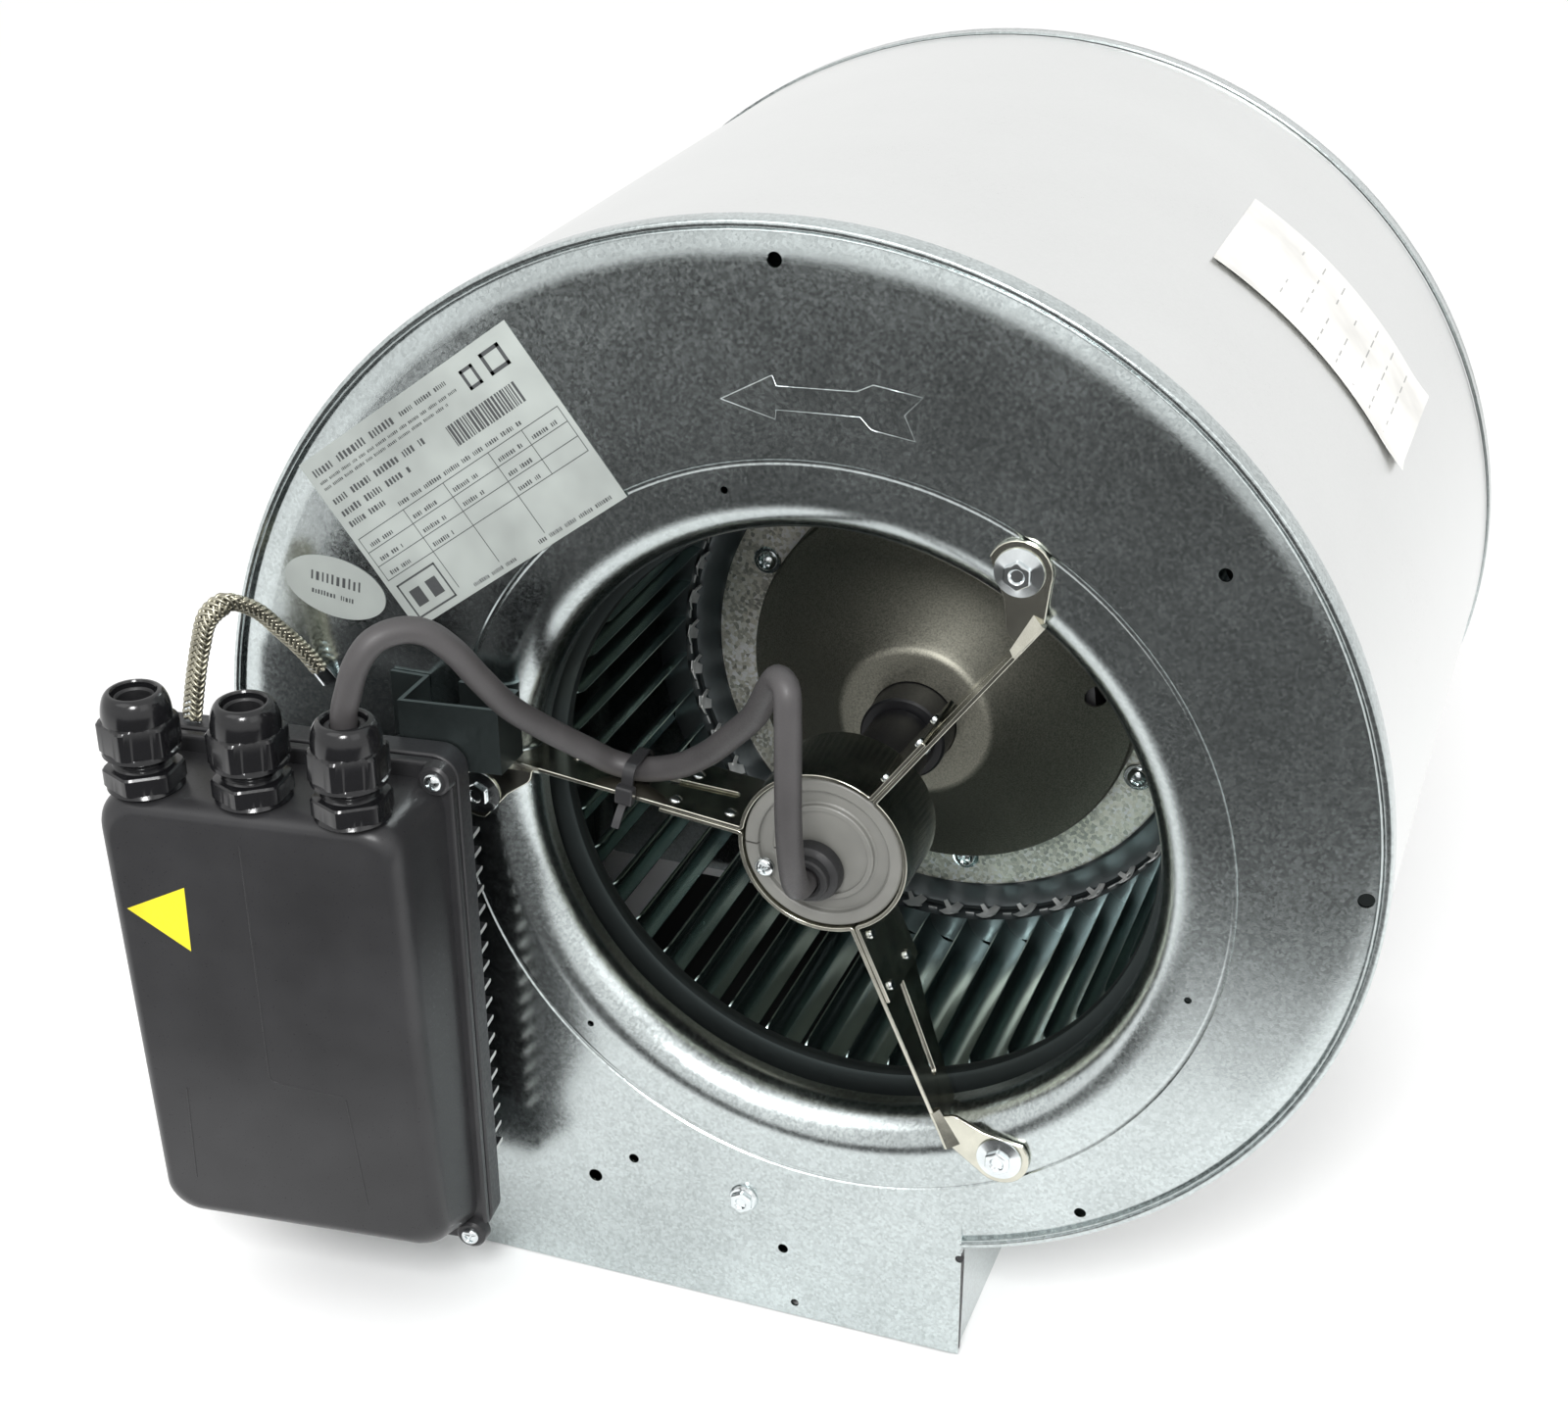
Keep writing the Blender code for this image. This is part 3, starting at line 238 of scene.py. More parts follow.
def rounded_rectangle(low, high, radius, steps=6):
    outline = []
    corners = ((high[0], high[1], 0), (low[0], high[1], 90), (low[0], low[1], 180), (high[0], low[1], 270))
    for a, b, turn in corners:
        centre = (a - math.copysign(radius, a - low[0] - 1e-6), b - math.copysign(radius, b - low[1] - 1e-6))
        outline += arc(centre, radius, turn, turn + 90, steps)
    return outline


def turned(profile, turns, axis=(0.0, 0.0), flats=0):
    """A (radius, y) profile turned about a line along Y; flats turns marked rows into a polygon."""
    points = []
    rows = []
    for entry in profile:
        radius, y = entry[0], entry[1]
        angular = len(entry) > 2 and flats
        if radius < 1e-6:
            rows.append([len(points)])
            points.append((axis[0], y, axis[1]))
            continue
        rows.append(list(range(len(points), len(points) + turns)))
        for turn in range(turns):
            degrees = 360.0 * turn / turns
            reach = radius
            if angular:
                span = 360.0 / flats
                off = (degrees + span / 2) % span - span / 2
                reach = min(radius / cos(off), entry[2])
            x, z = on_circle(reach, degrees, axis)
            points.append((x, y, z))
    faces = []
    for row, following in zip(rows, rows[1:] + rows[:1]):
        if len(row) == 1 and len(following) == 1:
            continue
        for turn in range(turns):
            after = (turn + 1) % turns
            corners = [row[turn % len(row)], row[after % len(row)]]
            corners += [following[after % len(following)], following[turn % len(following)]]
            faces.append(list(dict.fromkeys(corners)))
    return points, faces


def swept(stations):
    """A tube through rings of points, capped at both ends."""
    size = len(stations[0])
    points = [point for station in stations for point in station]
    faces = []
    for here in range(0, len(points) - size, size):
        for side in range(size):
            after = (side + 1) % size
            faces.append([here + side, here + after, here + size + after, here + size + side])
    faces.append(list(range(size)))
    faces.append([len(points) - size + side for side in reversed(range(size))])
    return points, faces


def extruded(outline, low, high, axis="y"):
    order = {"x": lambda a, b, c: (c, a, b), "y": lambda a, b, c: (a, c, b), "z": lambda a, b, c: (a, b, c)}
    put = order[axis]
    return swept([[put(a, b, level) for a, b in outline] for level in (low, high)])


def about_axis(shape, degrees):
    """The shape turned about the wheel's axis, from +X towards +Z."""
    c, s = cos(degrees), sin(degrees)
    return [(x * c - z * s, y, x * s + z * c) for x, y, z in shape[0]], shape[1]


def mirrored(shape, side):
    if side == "front":
        return shape
    return [(x, SPACING - y, z) for x, y, z in shape[0]], shape[1]


def smooth_line(route, count):
    """Even points along a smooth curve through the route (centripetal Catmull-Rom)."""
    knots = [Vector(point) for point in route]
    knots = [2 * knots[0] - knots[1], *knots, 2 * knots[-1] - knots[-2]]
    dense = []
    for a, b, c, d in zip(knots, knots[1:], knots[2:], knots[3:]):
        t1 = (b - a).length ** 0.5
        t2 = t1 + (c - b).length ** 0.5
        t3 = t2 + (d - c).length ** 0.5
        for step in range(24):
            t = t1 + (t2 - t1) * step / 24
            ab = a.lerp(b, t / t1)
            bc = b.lerp(c, (t - t1) / (t2 - t1))
            cd = c.lerp(d, (t - t2) / (t3 - t2))
            abc = ab.lerp(bc, t / t2)
            bcd = bc.lerp(cd, (t - t1) / (t3 - t1))
            dense.append(abc.lerp(bcd, (t - t1) / (t2 - t1)))
    dense.append(knots[-2])
    lengths = [0.0]
    for here, there in zip(dense, dense[1:]):
        lengths.append(lengths[-1] + (there - here).length)
    line = []
    index = 0
    for step in range(count):
        wanted = lengths[-1] * step / (count - 1)
        while index < len(dense) - 2 and lengths[index + 1] < wanted:
            index += 1
        share = (wanted - lengths[index]) / (lengths[index + 1] - lengths[index])
        line.append(dense[index].lerp(dense[index + 1], share))
    return line


def strand(name, lines, radius, look, sides=4):
    """Round wires along lines of points, all in one curve."""
    curve = bpy.data.curves.new(name, "CURVE")
    curve.dimensions = "3D"
    curve.bevel_depth = MM * radius
    curve.bevel_resolution = sides
    curve.use_fill_caps = True
    for line in lines:
        spline = curve.splines.new("POLY")
        spline.points.add(len(line) - 1)
        spline.use_smooth = True
        for point, there in zip(spline.points, line):
            point.co = (*place(there), 1.0)
    thing = bpy.data.objects.new(name, curve)
    bpy.context.collection.objects.link(thing)
    curve.materials.append(MATERIALS[look])
    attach(thing, "housing")
    return thing


# ---- materials


class Shader:
    """A Principled material with small helpers for its nodes."""

    def __init__(self, name, colour, roughness, metallic=0.0, **sockets):
        self.material = bpy.data.materials.new(name)
        self.material.use_nodes = True
        self.nodes = self.material.node_tree.nodes
        self.links = self.material.node_tree.links
        self.bsdf = self.nodes["Principled BSDF"]
        self.bsdf.inputs["Base Color"].default_value = (*colour, 1.0)
        self.bsdf.inputs["Roughness"].default_value = roughness
        self.bsdf.inputs["Metallic"].default_value = metallic
        for socket, value in sockets.items():
            self.bsdf.inputs[socket.replace("_", " ")].default_value = value
        self.place = self.node("TexCoord").outputs["Object"]

    def feed(self, socket, value):
        """Sets the socket's value, or links another node's output to it."""
        if isinstance(value, bpy.types.NodeSocket):
            self.links.new(value, socket)
        else:
            socket.default_value = value

    def node(self, kind, **sockets):
        """A new node with values or links on its named inputs."""
        made = self.nodes.new("ShaderNode" + kind)
        for socket, value in sockets.items():
            self.feed(made.inputs[socket.replace("_", " ")], value)
        return made

    def noise(self, scale, detail, roughness):
        node = self.node("TexNoise", Vector=self.place, Scale=scale, Detail=detail, Roughness=roughness)
        return node.outputs["Fac"]

    def cells(self, scale):
        """Random flat cells, as zinc spangle or cast grain."""
        cells = self.node("TexVoronoi", Vector=self.place, Scale=scale)
        return self.node("RGBToBW", Color=cells.outputs["Color"]).outputs["Val"]

    def math(self, operation, a, b):
        node = self.node("Math")
        node.operation = operation
        self.feed(node.inputs[0], a)
        self.feed(node.inputs[1], b)
        return node.outputs["Value"]

    def spread(self, value, low, high):
        """The value's 0.3 to 0.7 stretched to low to high."""
        node = self.node("MapRange", Value=value, From_Min=0.3, From_Max=0.7, To_Min=low, To_Max=high)
        return node.outputs["Result"]

    def fade(self, value, start, end):
        """0 at the start, 1 at the end, smooth between them."""
        node = self.node("MapRange", Value=value, From_Min=start, From_Max=end)
        node.interpolation_type = "SMOOTHSTEP"
        return node.outputs["Result"]

    def tint(self, value, stops):
        """Base colour from a value through (position, colour) stops."""
        ramp = self.node("ValToRGB", Fac=value)
        elements = ramp.color_ramp.elements
        while len(elements) < len(stops):
            elements.new(0.5)
        for element, (position, colour) in zip(elements, stops):
            element.position = position
            element.color = (*colour, 1.0)
        self.feed(self.bsdf.inputs["Base Color"], ramp.outputs["Color"])

    def rough(self, value):
        self.feed(self.bsdf.inputs["Roughness"], value)

    def bump(self, value, height, strength):
        node = self.node("Bump", Strength=strength, Distance=MM * height, Height=value)
        self.feed(self.bsdf.inputs["Normal"], node.outputs["Normal"])


def shade(colour, factor):
    return tuple(min(1.0, value * factor) for value in colour)


def galvanised(name, colour, low, high, speckle=0.5, grain=0.5, scale=900.0):
    """Zinc-coated sheet: fine bright and dull grains under faint clouds."""
    s = Shader(name, colour, low, 1.0)
    grains = s.cells(scale)
    fine = s.noise(1900.0, 3.0, 0.7)
    cloud = s.noise(16.0, 4.0, 0.6)
    mix = s.math("ADD", s.math("MULTIPLY", grains, speckle), s.math("MULTIPLY", fine, 1 - speckle))
    mix = s.math("ADD", s.math("MULTIPLY", mix, 0.6), s.math("MULTIPLY", cloud, 0.4))
    dull = shade(colour, 1 - 0.3 * grain)
    bright = shade(colour, 1 + 0.3 * grain)
    s.tint(mix, ((0.34, dull), (0.5, colour), (0.66, bright)))
    s.rough(s.spread(mix, low, high))
    s.bump(s.math("ADD", s.math("MULTIPLY", grains, 0.2), fine), 0.05 * grain, 0.5)
    return s.material


def moulded(name, colour, roughness, grain=900.0, height=0.02, shine=0.5):
    """Moulded plastic or rubber with a fine grain."""
    s = Shader(name, colour, roughness, Specular_IOR_Level=shine)
    fine = s.noise(grain, 2.0, 0.6)
    cloud = s.noise(25.0, 3.0, 0.6)
    s.tint(cloud, ((0.3, shade(colour, 0.82)), (0.7, shade(colour, 1.2))))
    s.rough(s.spread(fine, roughness * 0.85, roughness * 1.2))
    s.bump(fine, height, 0.4)
    return s.material


def plated(name, colour, roughness, variation=0.15):
    """Machined or plated metal with slight cloudiness."""
    s = Shader(name, colour, roughness, 1.0)
    cloud = s.noise(90.0, 4.0, 0.65)
    s.tint(cloud, ((0.3, shade(colour, 1 - variation)), (0.7, shade(colour, 1 + variation))))
    s.rough(s.spread(cloud, roughness * 0.8, roughness * 1.3))
    s.bump(s.noise(700.0, 2.0, 0.5), 0.01, 0.2)
    return s.material


def make_materials():
    MATERIALS.update({
        "plate": galvanised("galvanised_plate", (0.51, 0.555, 0.555), 0.14, 0.26, 0.45, 0.7),
        "wrap": galvanised("galvanised_wrap", (0.775, 0.785, 0.78), 0.26, 0.36, 0.2, 0.12),
        # the same galvanised sheet made near-black: painted shade for the housing's inner faces and for the
        # bracket behind the box
        "inside": galvanised("galvanised_painted_shade", (0.09, 0.11, 0.11), 0.35, 0.5, 0.2, 0.2),
        "ring": galvanised("galvanised_ring", (0.86, 0.83, 0.73), 0.42, 0.6, 0.6, 1.7, 700.0),
        "blade": galvanised("blade_strip", (0.36, 0.45, 0.44), 0.2, 0.28, 0.2, 0.1),
        # galvanised sheet darkened: painted shade on the centre band and on the plate's step deep inside the
        # wheel
        "band": galvanised("band_painted_shade", (0.13, 0.145, 0.15), 0.36, 0.46, 0.2, 0.2),
        # galvanised end ring made near-black: painted shade where the wheel's front meets the dark inside of
        # the inlet
        "lip": galvanised("end_ring", (0.05, 0.06, 0.06), 0.5, 0.65, 0.2, 0.2),
        # tabs far brighter than the sheet they are bent from: painted highlight
        "tabs": plated("bent_tabs_painted_highlight", (0.92, 0.94, 0.92), 0.5),
        "strap": plated("yellow_zinc", (0.58, 0.57, 0.49), 0.18, 0.14),
        "screw": plated("bright_zinc", (0.72, 0.76, 0.77), 0.14, 0.1),
        "steel": plated("ground_steel", (0.55, 0.56, 0.57), 0.25),
        "laminations": plated("laminations", (0.22, 0.22, 0.23), 0.5),
        "copper": plated("windings", (0.45, 0.22, 0.12), 0.4),
        "tin": plated("capacitor_can", (0.6, 0.6, 0.62), 0.3),
        "aluminium": plated("cut_aluminium", (0.72, 0.72, 0.70), 0.35),
        "braid": plated("tinned_braid", (0.36, 0.345, 0.275), 0.36, 0.3),
        "cap": moulded("bush_grey", (0.165, 0.165, 0.152), 0.42, 1100.0, 0.02),
        "neck": moulded("blackened_steel", (0.006, 0.006, 0.007), 0.38),
        "disc": disc_paint("satin_disc"),
        "box": moulded("black_moulding", (0.024, 0.024, 0.0255), 0.32, 1300.0, 0.006, 0.32),
        "gland": moulded("gland_nylon", (0.008, 0.008, 0.009), 0.17, 1300.0, 0.002),
        "sink": moulded("black_casting", (0.018, 0.018, 0.020), 0.42, 700.0, 0.03),
        "rubber": moulded("black_rubber", (0.012, 0.012, 0.013), 0.5, 900.0, 0.01),
        "cable": moulded("cable_sheath", (0.050, 0.047, 0.048), 0.5, 1600.0, 0.01),
        "board": moulded("circuit_laminate", (0.02, 0.12, 0.05), 0.4),
        "film": moulded("label_film", (0.30, 0.325, 0.31), 0.4, 900.0, 0.005),
        "paper": moulded("label_paper", (0.80, 0.79, 0.76), 0.7, 500.0, 0.01),
        "ink": moulded("label_ink", (0.045, 0.048, 0.05), 0.6, 500.0, 0.003),
        "pale_ink": moulded("pale_ink", (0.42, 0.42, 0.41), 0.7, 500.0, 0.003),
        "yellow": moulded("sticker_yellow", (0.66, 0.55, 0.006), 0.5, 600.0, 0.004),
        "floor": Shader("studio_white", (0.96, 0.96, 0.96), 0.9).material,
        "shade": Shader("outlet_shade", (0.004, 0.005, 0.005), 0.9).material,
        "card": card_material(),
    })


def card_material():
    """Black, fading out towards the blower and to the right, so that its reflection in the plate grades."""
    s = Shader("dark_card", (0.0, 0.0, 0.0), 1.0, Specular_IOR_Level=0.0)
    spot = s.node("SeparateXYZ", Vector=s.place).outputs
    nearness = s.math("ADD", spot["Y"], s.math("MULTIPLY", spot["X"], 0.12))
    sideways = s.math("SUBTRACT", spot["X"], s.math("MULTIPLY", spot["Y"], 0.49))
    deep = s.fade(nearness, MM * -215, MM * -450)
    inwards = s.fade(sideways, MM * -215, MM * -165)
    opacity = 0.93
    s.feed(s.bsdf.inputs["Alpha"], s.math("MULTIPLY", s.math("MULTIPLY", deep, inwards), opacity))
    return s.material


def disc_paint(name):
    """Satin grey-brown coating with a fine metallic speckle."""
    s = Shader(name, (0.34, 0.33, 0.28), 0.48, 1.0)
    speckle = s.noise(1500.0, 2.0, 0.6)
    s.tint(speckle, ((0.3, (0.19, 0.187, 0.157)), (0.7, (0.36, 0.352, 0.295))))
    s.rough(s.spread(speckle, 0.44, 0.56))
    s.bump(speckle, 0.02, 0.4)
    return s.material


# ---- scroll housing


def scroll_path():
    """Stations round the scroll from the cut-off to the outlet's left foot: point and outward direction."""
    x, z = SCROLL_CENTRE
    degrees_a_step = 2.5
    first = -math.degrees(math.acos((OUTLET_RIGHT - x) / SCROLL_RADIUS))
    stations = []
    for number, (start, end) in enumerate(((first, 0), (0, 90), (90, 180))):
        centre = (x - SCROLL_STEP * min(number, 1), z - SCROLL_STEP * max(number - 1, 0))
        radius = SCROLL_RADIUS + SCROLL_STEP * number
        steps = round((end - start) / degrees_a_step)
        for point in arc(centre, radius, start, end, steps)[1 if number else 0:]:
            stations.append((point, ((point[0] - centre[0]) / radius, (point[1] - centre[1]) / radius)))
    left = stations[-1][0][0]
    top = z - SCROLL_STEP
    for share in (0.25, 0.5, 0.75, 1.0):
        stations.append(((left, top + (OUTLET_BOTTOM - top) * share), (-1.0, 0.0)))
    return stations


def scroll_band(section, stations):
    """The section (inset, y) carried along the stations."""
    rings = []
    for (x, z), (nx, nz) in stations:
        rings.append([(x - inset * nx, y, z - inset * nz) for inset, y in section])
    return swept(rings)


def plate_with_roll(outline, rows, turns):
    """A flat sheet inside the outline whose round hole continues in the turned rows of an inlet roll."""
    count = len(outline)
    ring = circle((0, 0), rows[0][0], turns)
    flat = tessellate_polygon([[Vector((x, z, 0)) for x, z in loop] for loop in (outline, ring)])
    points = [(x, 0.0, z) for x, z in outline] + [(x, SHEET, z) for x, z in outline]
    first = len(points)
    for radius, y in rows:
        points += [(radius / rows[0][0] * x, y, radius / rows[0][0] * z) for x, z in ring]
    last = len(points) - turns
    faces = []
    for triangle in flat:
        faces.append([corner if corner < count else first + corner - count for corner in triangle])
        faces.append([corner + count if corner < count else last + corner - count for corner in triangle])
    for corner in range(count):
        after = (corner + 1) % count
        faces.append([corner, after, after + count, corner + count])
    for row in range(len(rows) - 1):
        here = first + row * turns
        for turn in range(turns):
            after = (turn + 1) % turns
            faces.append([here + turn, here + after, here + turns + after, here + turns + turn])
    return points, faces


PLATE_HOLES = (  # x, z, diameter
    (-16.9, 203.9, 5.0),
    (127.4, 120.7, 4.5),
    (179.8, 16.5, 5.4),
    (95.3, -129.9, 4.3),
    (-16.6, -177.4, 4.0),
    (-12.0, -202.2, 3.2),
    (-93.0, -163.3, 5.5),
    (-76.6, -151.0, 4.0),
    (52.0, -163.0, 3.2),
)


def side_plate(side):
    """The flat plate with its holes and inlet roll, and the rim round it with the seam of the wrap."""
    stations = scroll_path()
    outline = [(x - EDGE_ROLL * nx, z - EDGE_ROLL * nz) for (x, z), (nx, nz) in stations]
    outline.append((OUTLET_RIGHT, OUTLET_BOTTOM + 1.2))
    outline[0] = (OUTLET_RIGHT, outline[0][1])
    recess = 0.3
    roll = INLET_FLAT - THROAT
    centre = (INLET_FLAT, roll + recess)
    rows = [(INLET_STEP + 1.4, 0), (INLET_STEP + 0.9, 0.5), (INLET_STEP + 0.3, 0.65)]
    rows += [(INLET_STEP - 0.4, 0.55), (INLET_STEP - 0.9, recess)]
    rows += arc(centre, roll, 270, 180, 20)
    rows += [(THROAT, roll + 3.2), (THROAT + 0.4, roll + 3.5), (THROAT + SHEET, roll + 3.2)]
    rows += arc(centre, roll - SHEET, 180, 270, 12)
    rows += [(INLET_STEP, recess + SHEET), (INLET_STEP + 1.4, SHEET)]
    plate = piece("plate_" + side, mirrored(plate_with_roll(outline, rows, 192), side), "plate")
    holes = [extruded(circle((x, z), size / 2, 24), -4, 5) for x, z, size in PLATE_HOLES]
    for angle in ARM_ANGLES:
        pilot = on_circle(BOLT_CIRCLE + 1.0, angle + BOLT_TURN + 45)
        holes.append(extruded(circle(pilot, 1.3, 20), -4, 5))
        if side == "rear":
            holes.append(extruded(circle(on_circle(BOLT_CIRCLE, angle + BOLT_TURN), 3.2, 24), -4, 5))
    cut(plate, [mirrored(hole, side) for hole in holes])
    plate.modifiers.new("flat shading", "WEIGHTED_NORMAL").keep_sharp = True
    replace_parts(plate, "side_plate_" + side)

    section = [(0, 8), (0, 0.9), (0.15, 0.4), (0.45, 0.05), (0.9, -0.14), (1.4, -0.2), (1.9, -0.12)]
    section += [(2.35, 0.1), (2.62, 0.5), (2.85, 0.5), (2.95, 0.0), (3.2, -0.2), (3.55, 0.0), (3.9, 1.25)]
    section += [(5.0, 1.0), (6.5, 0.63), (8.5, 0.28), (10.5, 0.09), (12.0, 0.02), (EDGE_ROLL, 0.0)]
    section += [(EDGE_ROLL, 1.0), (8.5, 1.4), (3.9, 2.4), (0.9, 2.4), (0.9, 8)]
    ends = stations[:-1] + [((stations[-1][0][0], OUTLET_BOTTOM + 0.4), stations[-1][1])]
    rim = piece("rim_" + side, mirrored(scroll_band(section, ends), side), "plate")
    cut(rim, [mirrored(hole, side) for hole in holes[:len(PLATE_HOLES)]])


def arrow():
    """The arrow of rotation, a fine line on the front plate."""
    outline = [(-35.4, 157.2), (-17.9, 167.0), (-16.6, 163.6), (9.8, 164.8), (15.2, 167.6), (31.2, 165.4)]
    outline += [(25.4, 159.0), (29.0, 150.9), (14.7, 152.9), (11.1, 156.7), (-16.7, 155.8), (-17.0, 152.6)]
    outline.append(outline[0])
    strand("rotation_arrow", [[(x, 0.07, z) for x, z in outline]], 0.2, "plate")


def housing():
    for side in ("front", "rear"):
        side_plate(side)
    arrow()
    low = SHEET + 1.6
    section = [(1.2, low), (1.2, SPACING - low), (2.2, SPACING - low), (2.2, low)]
    wrap = piece("wrap", scroll_band(section, scroll_path()), "wrap")
    # the faces turned towards the wheel take the near-black copy of the zinc finish: painted shade inside the
    # housing
    second_material(wrap, "inside", lambda spot, normal: spot.x * normal.x + spot.z * normal.z < 0)
    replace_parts(wrap, "scroll_wrap")
    for offset in (9.5, SPACING - 9.5):
        bead = [(1.25, offset - 0.7), (1.02, offset - 0.4), (0.95, offset), (1.02, offset + 0.4)]
        bead += [(1.25, offset + 0.7)]
        piece("wrap_bead_%d" % offset, scroll_band(bead, scroll_path()), "wrap")
    finish_node("cutoff_plate", "plate")
    # a thin black strip along the outlet's edge and a black disc inside the corner hole: painted shade of the
    # gap and of the hole, not a rubber part
    gap = [(1.0, -161.0), (4.0, -161.0), (4.4, -165.5), (3.8, -183), (2.2, -206), (1.0, -206)]
    seam = swept([[(OUTLET_RIGHT + out, y, z) for y, z in gap] for out in (0.02, 0.12)])
    x, z, size = PLATE_HOLES[-1]
    hole_shade = extruded(circle((x, z), size / 2 - 0.05, 24), 0.3, 0.9)
    piece("outlet_gap_painted_shade", merged([seam, hole_shade]), "rubber")
    screw("outlet_fixing", (-32.1, -157.6), 0.0, 8.0, 5.6, "outlet_screw")


def finish_node(name, look):
    """A CAD node whose shape is right gets its finished material."""
    node = frame["nodes"][name]
    node.data.materials.clear()
    node.data.materials.append(MATERIALS[look])


# ---- fasteners


def screw(name, at, rest, across, flange, node):
    """A flanged hexagon screw along Y: domed flange, chamfered head with a shallow recess."""
    half = across / 2
    corner = half / cos(30) * 0.97
    profile = [(0, 6), (2.4, 6), (2.4, 0), (flange - 0.3, 0), (flange, -0.35), (flange - 0.2, -0.8)]
    profile += [(half + 0.9, -1.5, corner + 0.5), (half, -1.7, corner), (half, -3.4, corner)]
    profile += [(half - 0.35, -3.88, corner * 0.93), (half - 0.9, -4.0), (half - 1.6, -4.0)]
    profile = raised(rest, profile + [(half - 1.9, -3.75), (half - 2.3, -3.1), (0, -3.0)])
    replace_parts(piece(name, turned(profile, 72, at, 6), "screw", sharp=HEX_SHARP), node)


def cross_screw(name, at, rest, head, node, lean, body="housing", local=None, reach=6.0):
    """A pan-head screw along Y with a cross recess."""
    dome = [(head * cos(turn), -0.7 - 1.9 * sin(turn)) for turn in range(0, 90, 15)]
    profile = raised(rest, [(0, reach), (1.6, reach), (1.6, 0), (head, 0)] + dome + [(0, -2.6)])
    made = piece(name, turned(profile, 32, at), "screw", None, local)
    long = head * 0.55
    wide = head * 0.13
    corners = [(-long, -wide), (long, -wide), (long, wide), (-long, wide)]
    for quarter in (0, 90):
        outline = [rotated(corner, lean + quarter, at) for corner in corners]
        low = quarter * 0.0005
        points, faces = extruded(outline, rest - 4 - low, rest - 1.3 + low)
        cut(made, [([local(point) for point in points] if local else points, faces)])
    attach(made, body)
    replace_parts(made, node)


# ---- motor and its support


def strip_outline(line, thickness):
    """The two sides of a sheet of even thickness along an open line of (a, b) points."""
    left = []
    right = []
    for index, point in enumerate(line):
        here = Vector(point)
        before = (here - Vector(line[index - 1])).normalized() if index else None
        after = (Vector(line[index + 1]) - here).normalized() if index + 1 < len(line) else None
        before = before or after
        after = after or before
        along = (before + after).normalized()
        reach = thickness / 2 / max(0.3, along.dot(after))
        side = Vector((-along.y, along.x)) * reach
        left.append(tuple(here + side))
        right.append(tuple(here - side))
    return left, right


def fillet(line, radius, steps=5):
    """The open line with its inner corners rounded."""
    rounded = [Vector(line[0])]
    for before, here, after in zip(line, line[1:], line[2:]):
        here = Vector(here)
        toward = Vector(before) - here
        onward = Vector(after) - here
        reach = min(radius, toward.length * 0.45, onward.length * 0.45)
        start = here + toward.normalized() * reach
        end = here + onward.normalized() * reach
        for step in range(steps + 1):
            t = step / steps
            rounded.append((1 - t) ** 2 * start + 2 * t * (1 - t) * here + t**2 * end)
    rounded.append(Vector(line[-1]))
    return [tuple(point) for point in rounded]


def support_strap(number):
    """Arm on edge, a third of the motor band and the flange that lies on the next arm, from one sheet."""
    middle = BAND_RADIUS + ARM_SHEET / 2
    offset = ARM_SHEET / 2 + 0.15
    root = math.degrees(math.asin(offset / middle))
    rear_edge = ((118.0, 2.5), (115.5, 4.5), (112.6, 8.0), (111.6, 15.5), (100.0, 17.6), (80.0, 22.5))
    rear_edge += ((FLANGE_END, BAND_REAR),)
    line = [(radius, -offset) for radius, rear in rear_edge]
    rears = [rear for radius, rear in rear_edge]
    inner = math.sqrt(middle**2 - offset**2)
    end = Vector(on_circle(1.0, -120))
    side = Vector((-end.y, end.x))
    band = [(FLANGE_END, -offset), (inner, -offset)] + arc((0, 0), middle, -root - 5, root - 115, 36)
    band += [tuple(end * reach + side * offset) for reach in (inner, FLANGE_END)]
    band = fillet(band, 1.6)[1:]
    rears += [BAND_REAR] * len(band)
    line += band
    left, right = strip_outline(line, ARM_SHEET)
    rings = []
    for (a, b), (c, d), rear in zip(left, right, rears):
        rings.append([(a, -4.0, b), (c, -4.0, d), (c, rear, d), (a, rear, b)])
    angle = ARM_ANGLES[number - 1]
    name = f"strap_{number}"
    strap = piece(name, about_axis(swept(rings), angle), "strap")
    cut(strap, [about_axis(extruded(capsule(*ARM_SLOT, 1.7), -6, 0.1, "z"), angle)])
    if number != 2:  # the tie lies on the second arm's slot
        ridge = [(radius, depth, -1.66) for radius, depth in capsule(*ARM_SLOT, 1.9)]
        strand(name + "_slot_lip", [about_axis((ridge + ridge[:1], []), angle)[0]], 0.28, "strap")
    soften(strap, 0.25)
    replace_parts(strap, f"support_strap_{number}")
    strap_tab(name + "_tab", angle)
    for radius, depth in RIVETS:
        rivet(name, radius, depth, angle)


def rivet(name, radius, depth, angle):
    """A small round screw head on each face of the doubled arm sheets."""
    profile = [(2.4 * cos(turn), -1.66 - sin(turn)) for turn in range(90, -1, -15)]
    profile[0] = (0, -2.66)
    profile += [(1.2, -1.6), (1.2, 1.7), (2.0, 1.7), (1.8, 2.6), (0, 2.7)]
    shape = turned(profile, 20)
    standing = [(radius + x, depth + z, y) for x, y, z in shape[0]], shape[1]
    head = piece("%s_screw_%d_%d" % (name, radius, depth), about_axis(standing, angle), "screw")
    if (radius, depth) == RIVETS[1]:
        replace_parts(head, name.replace("strap", "strap_screw"))


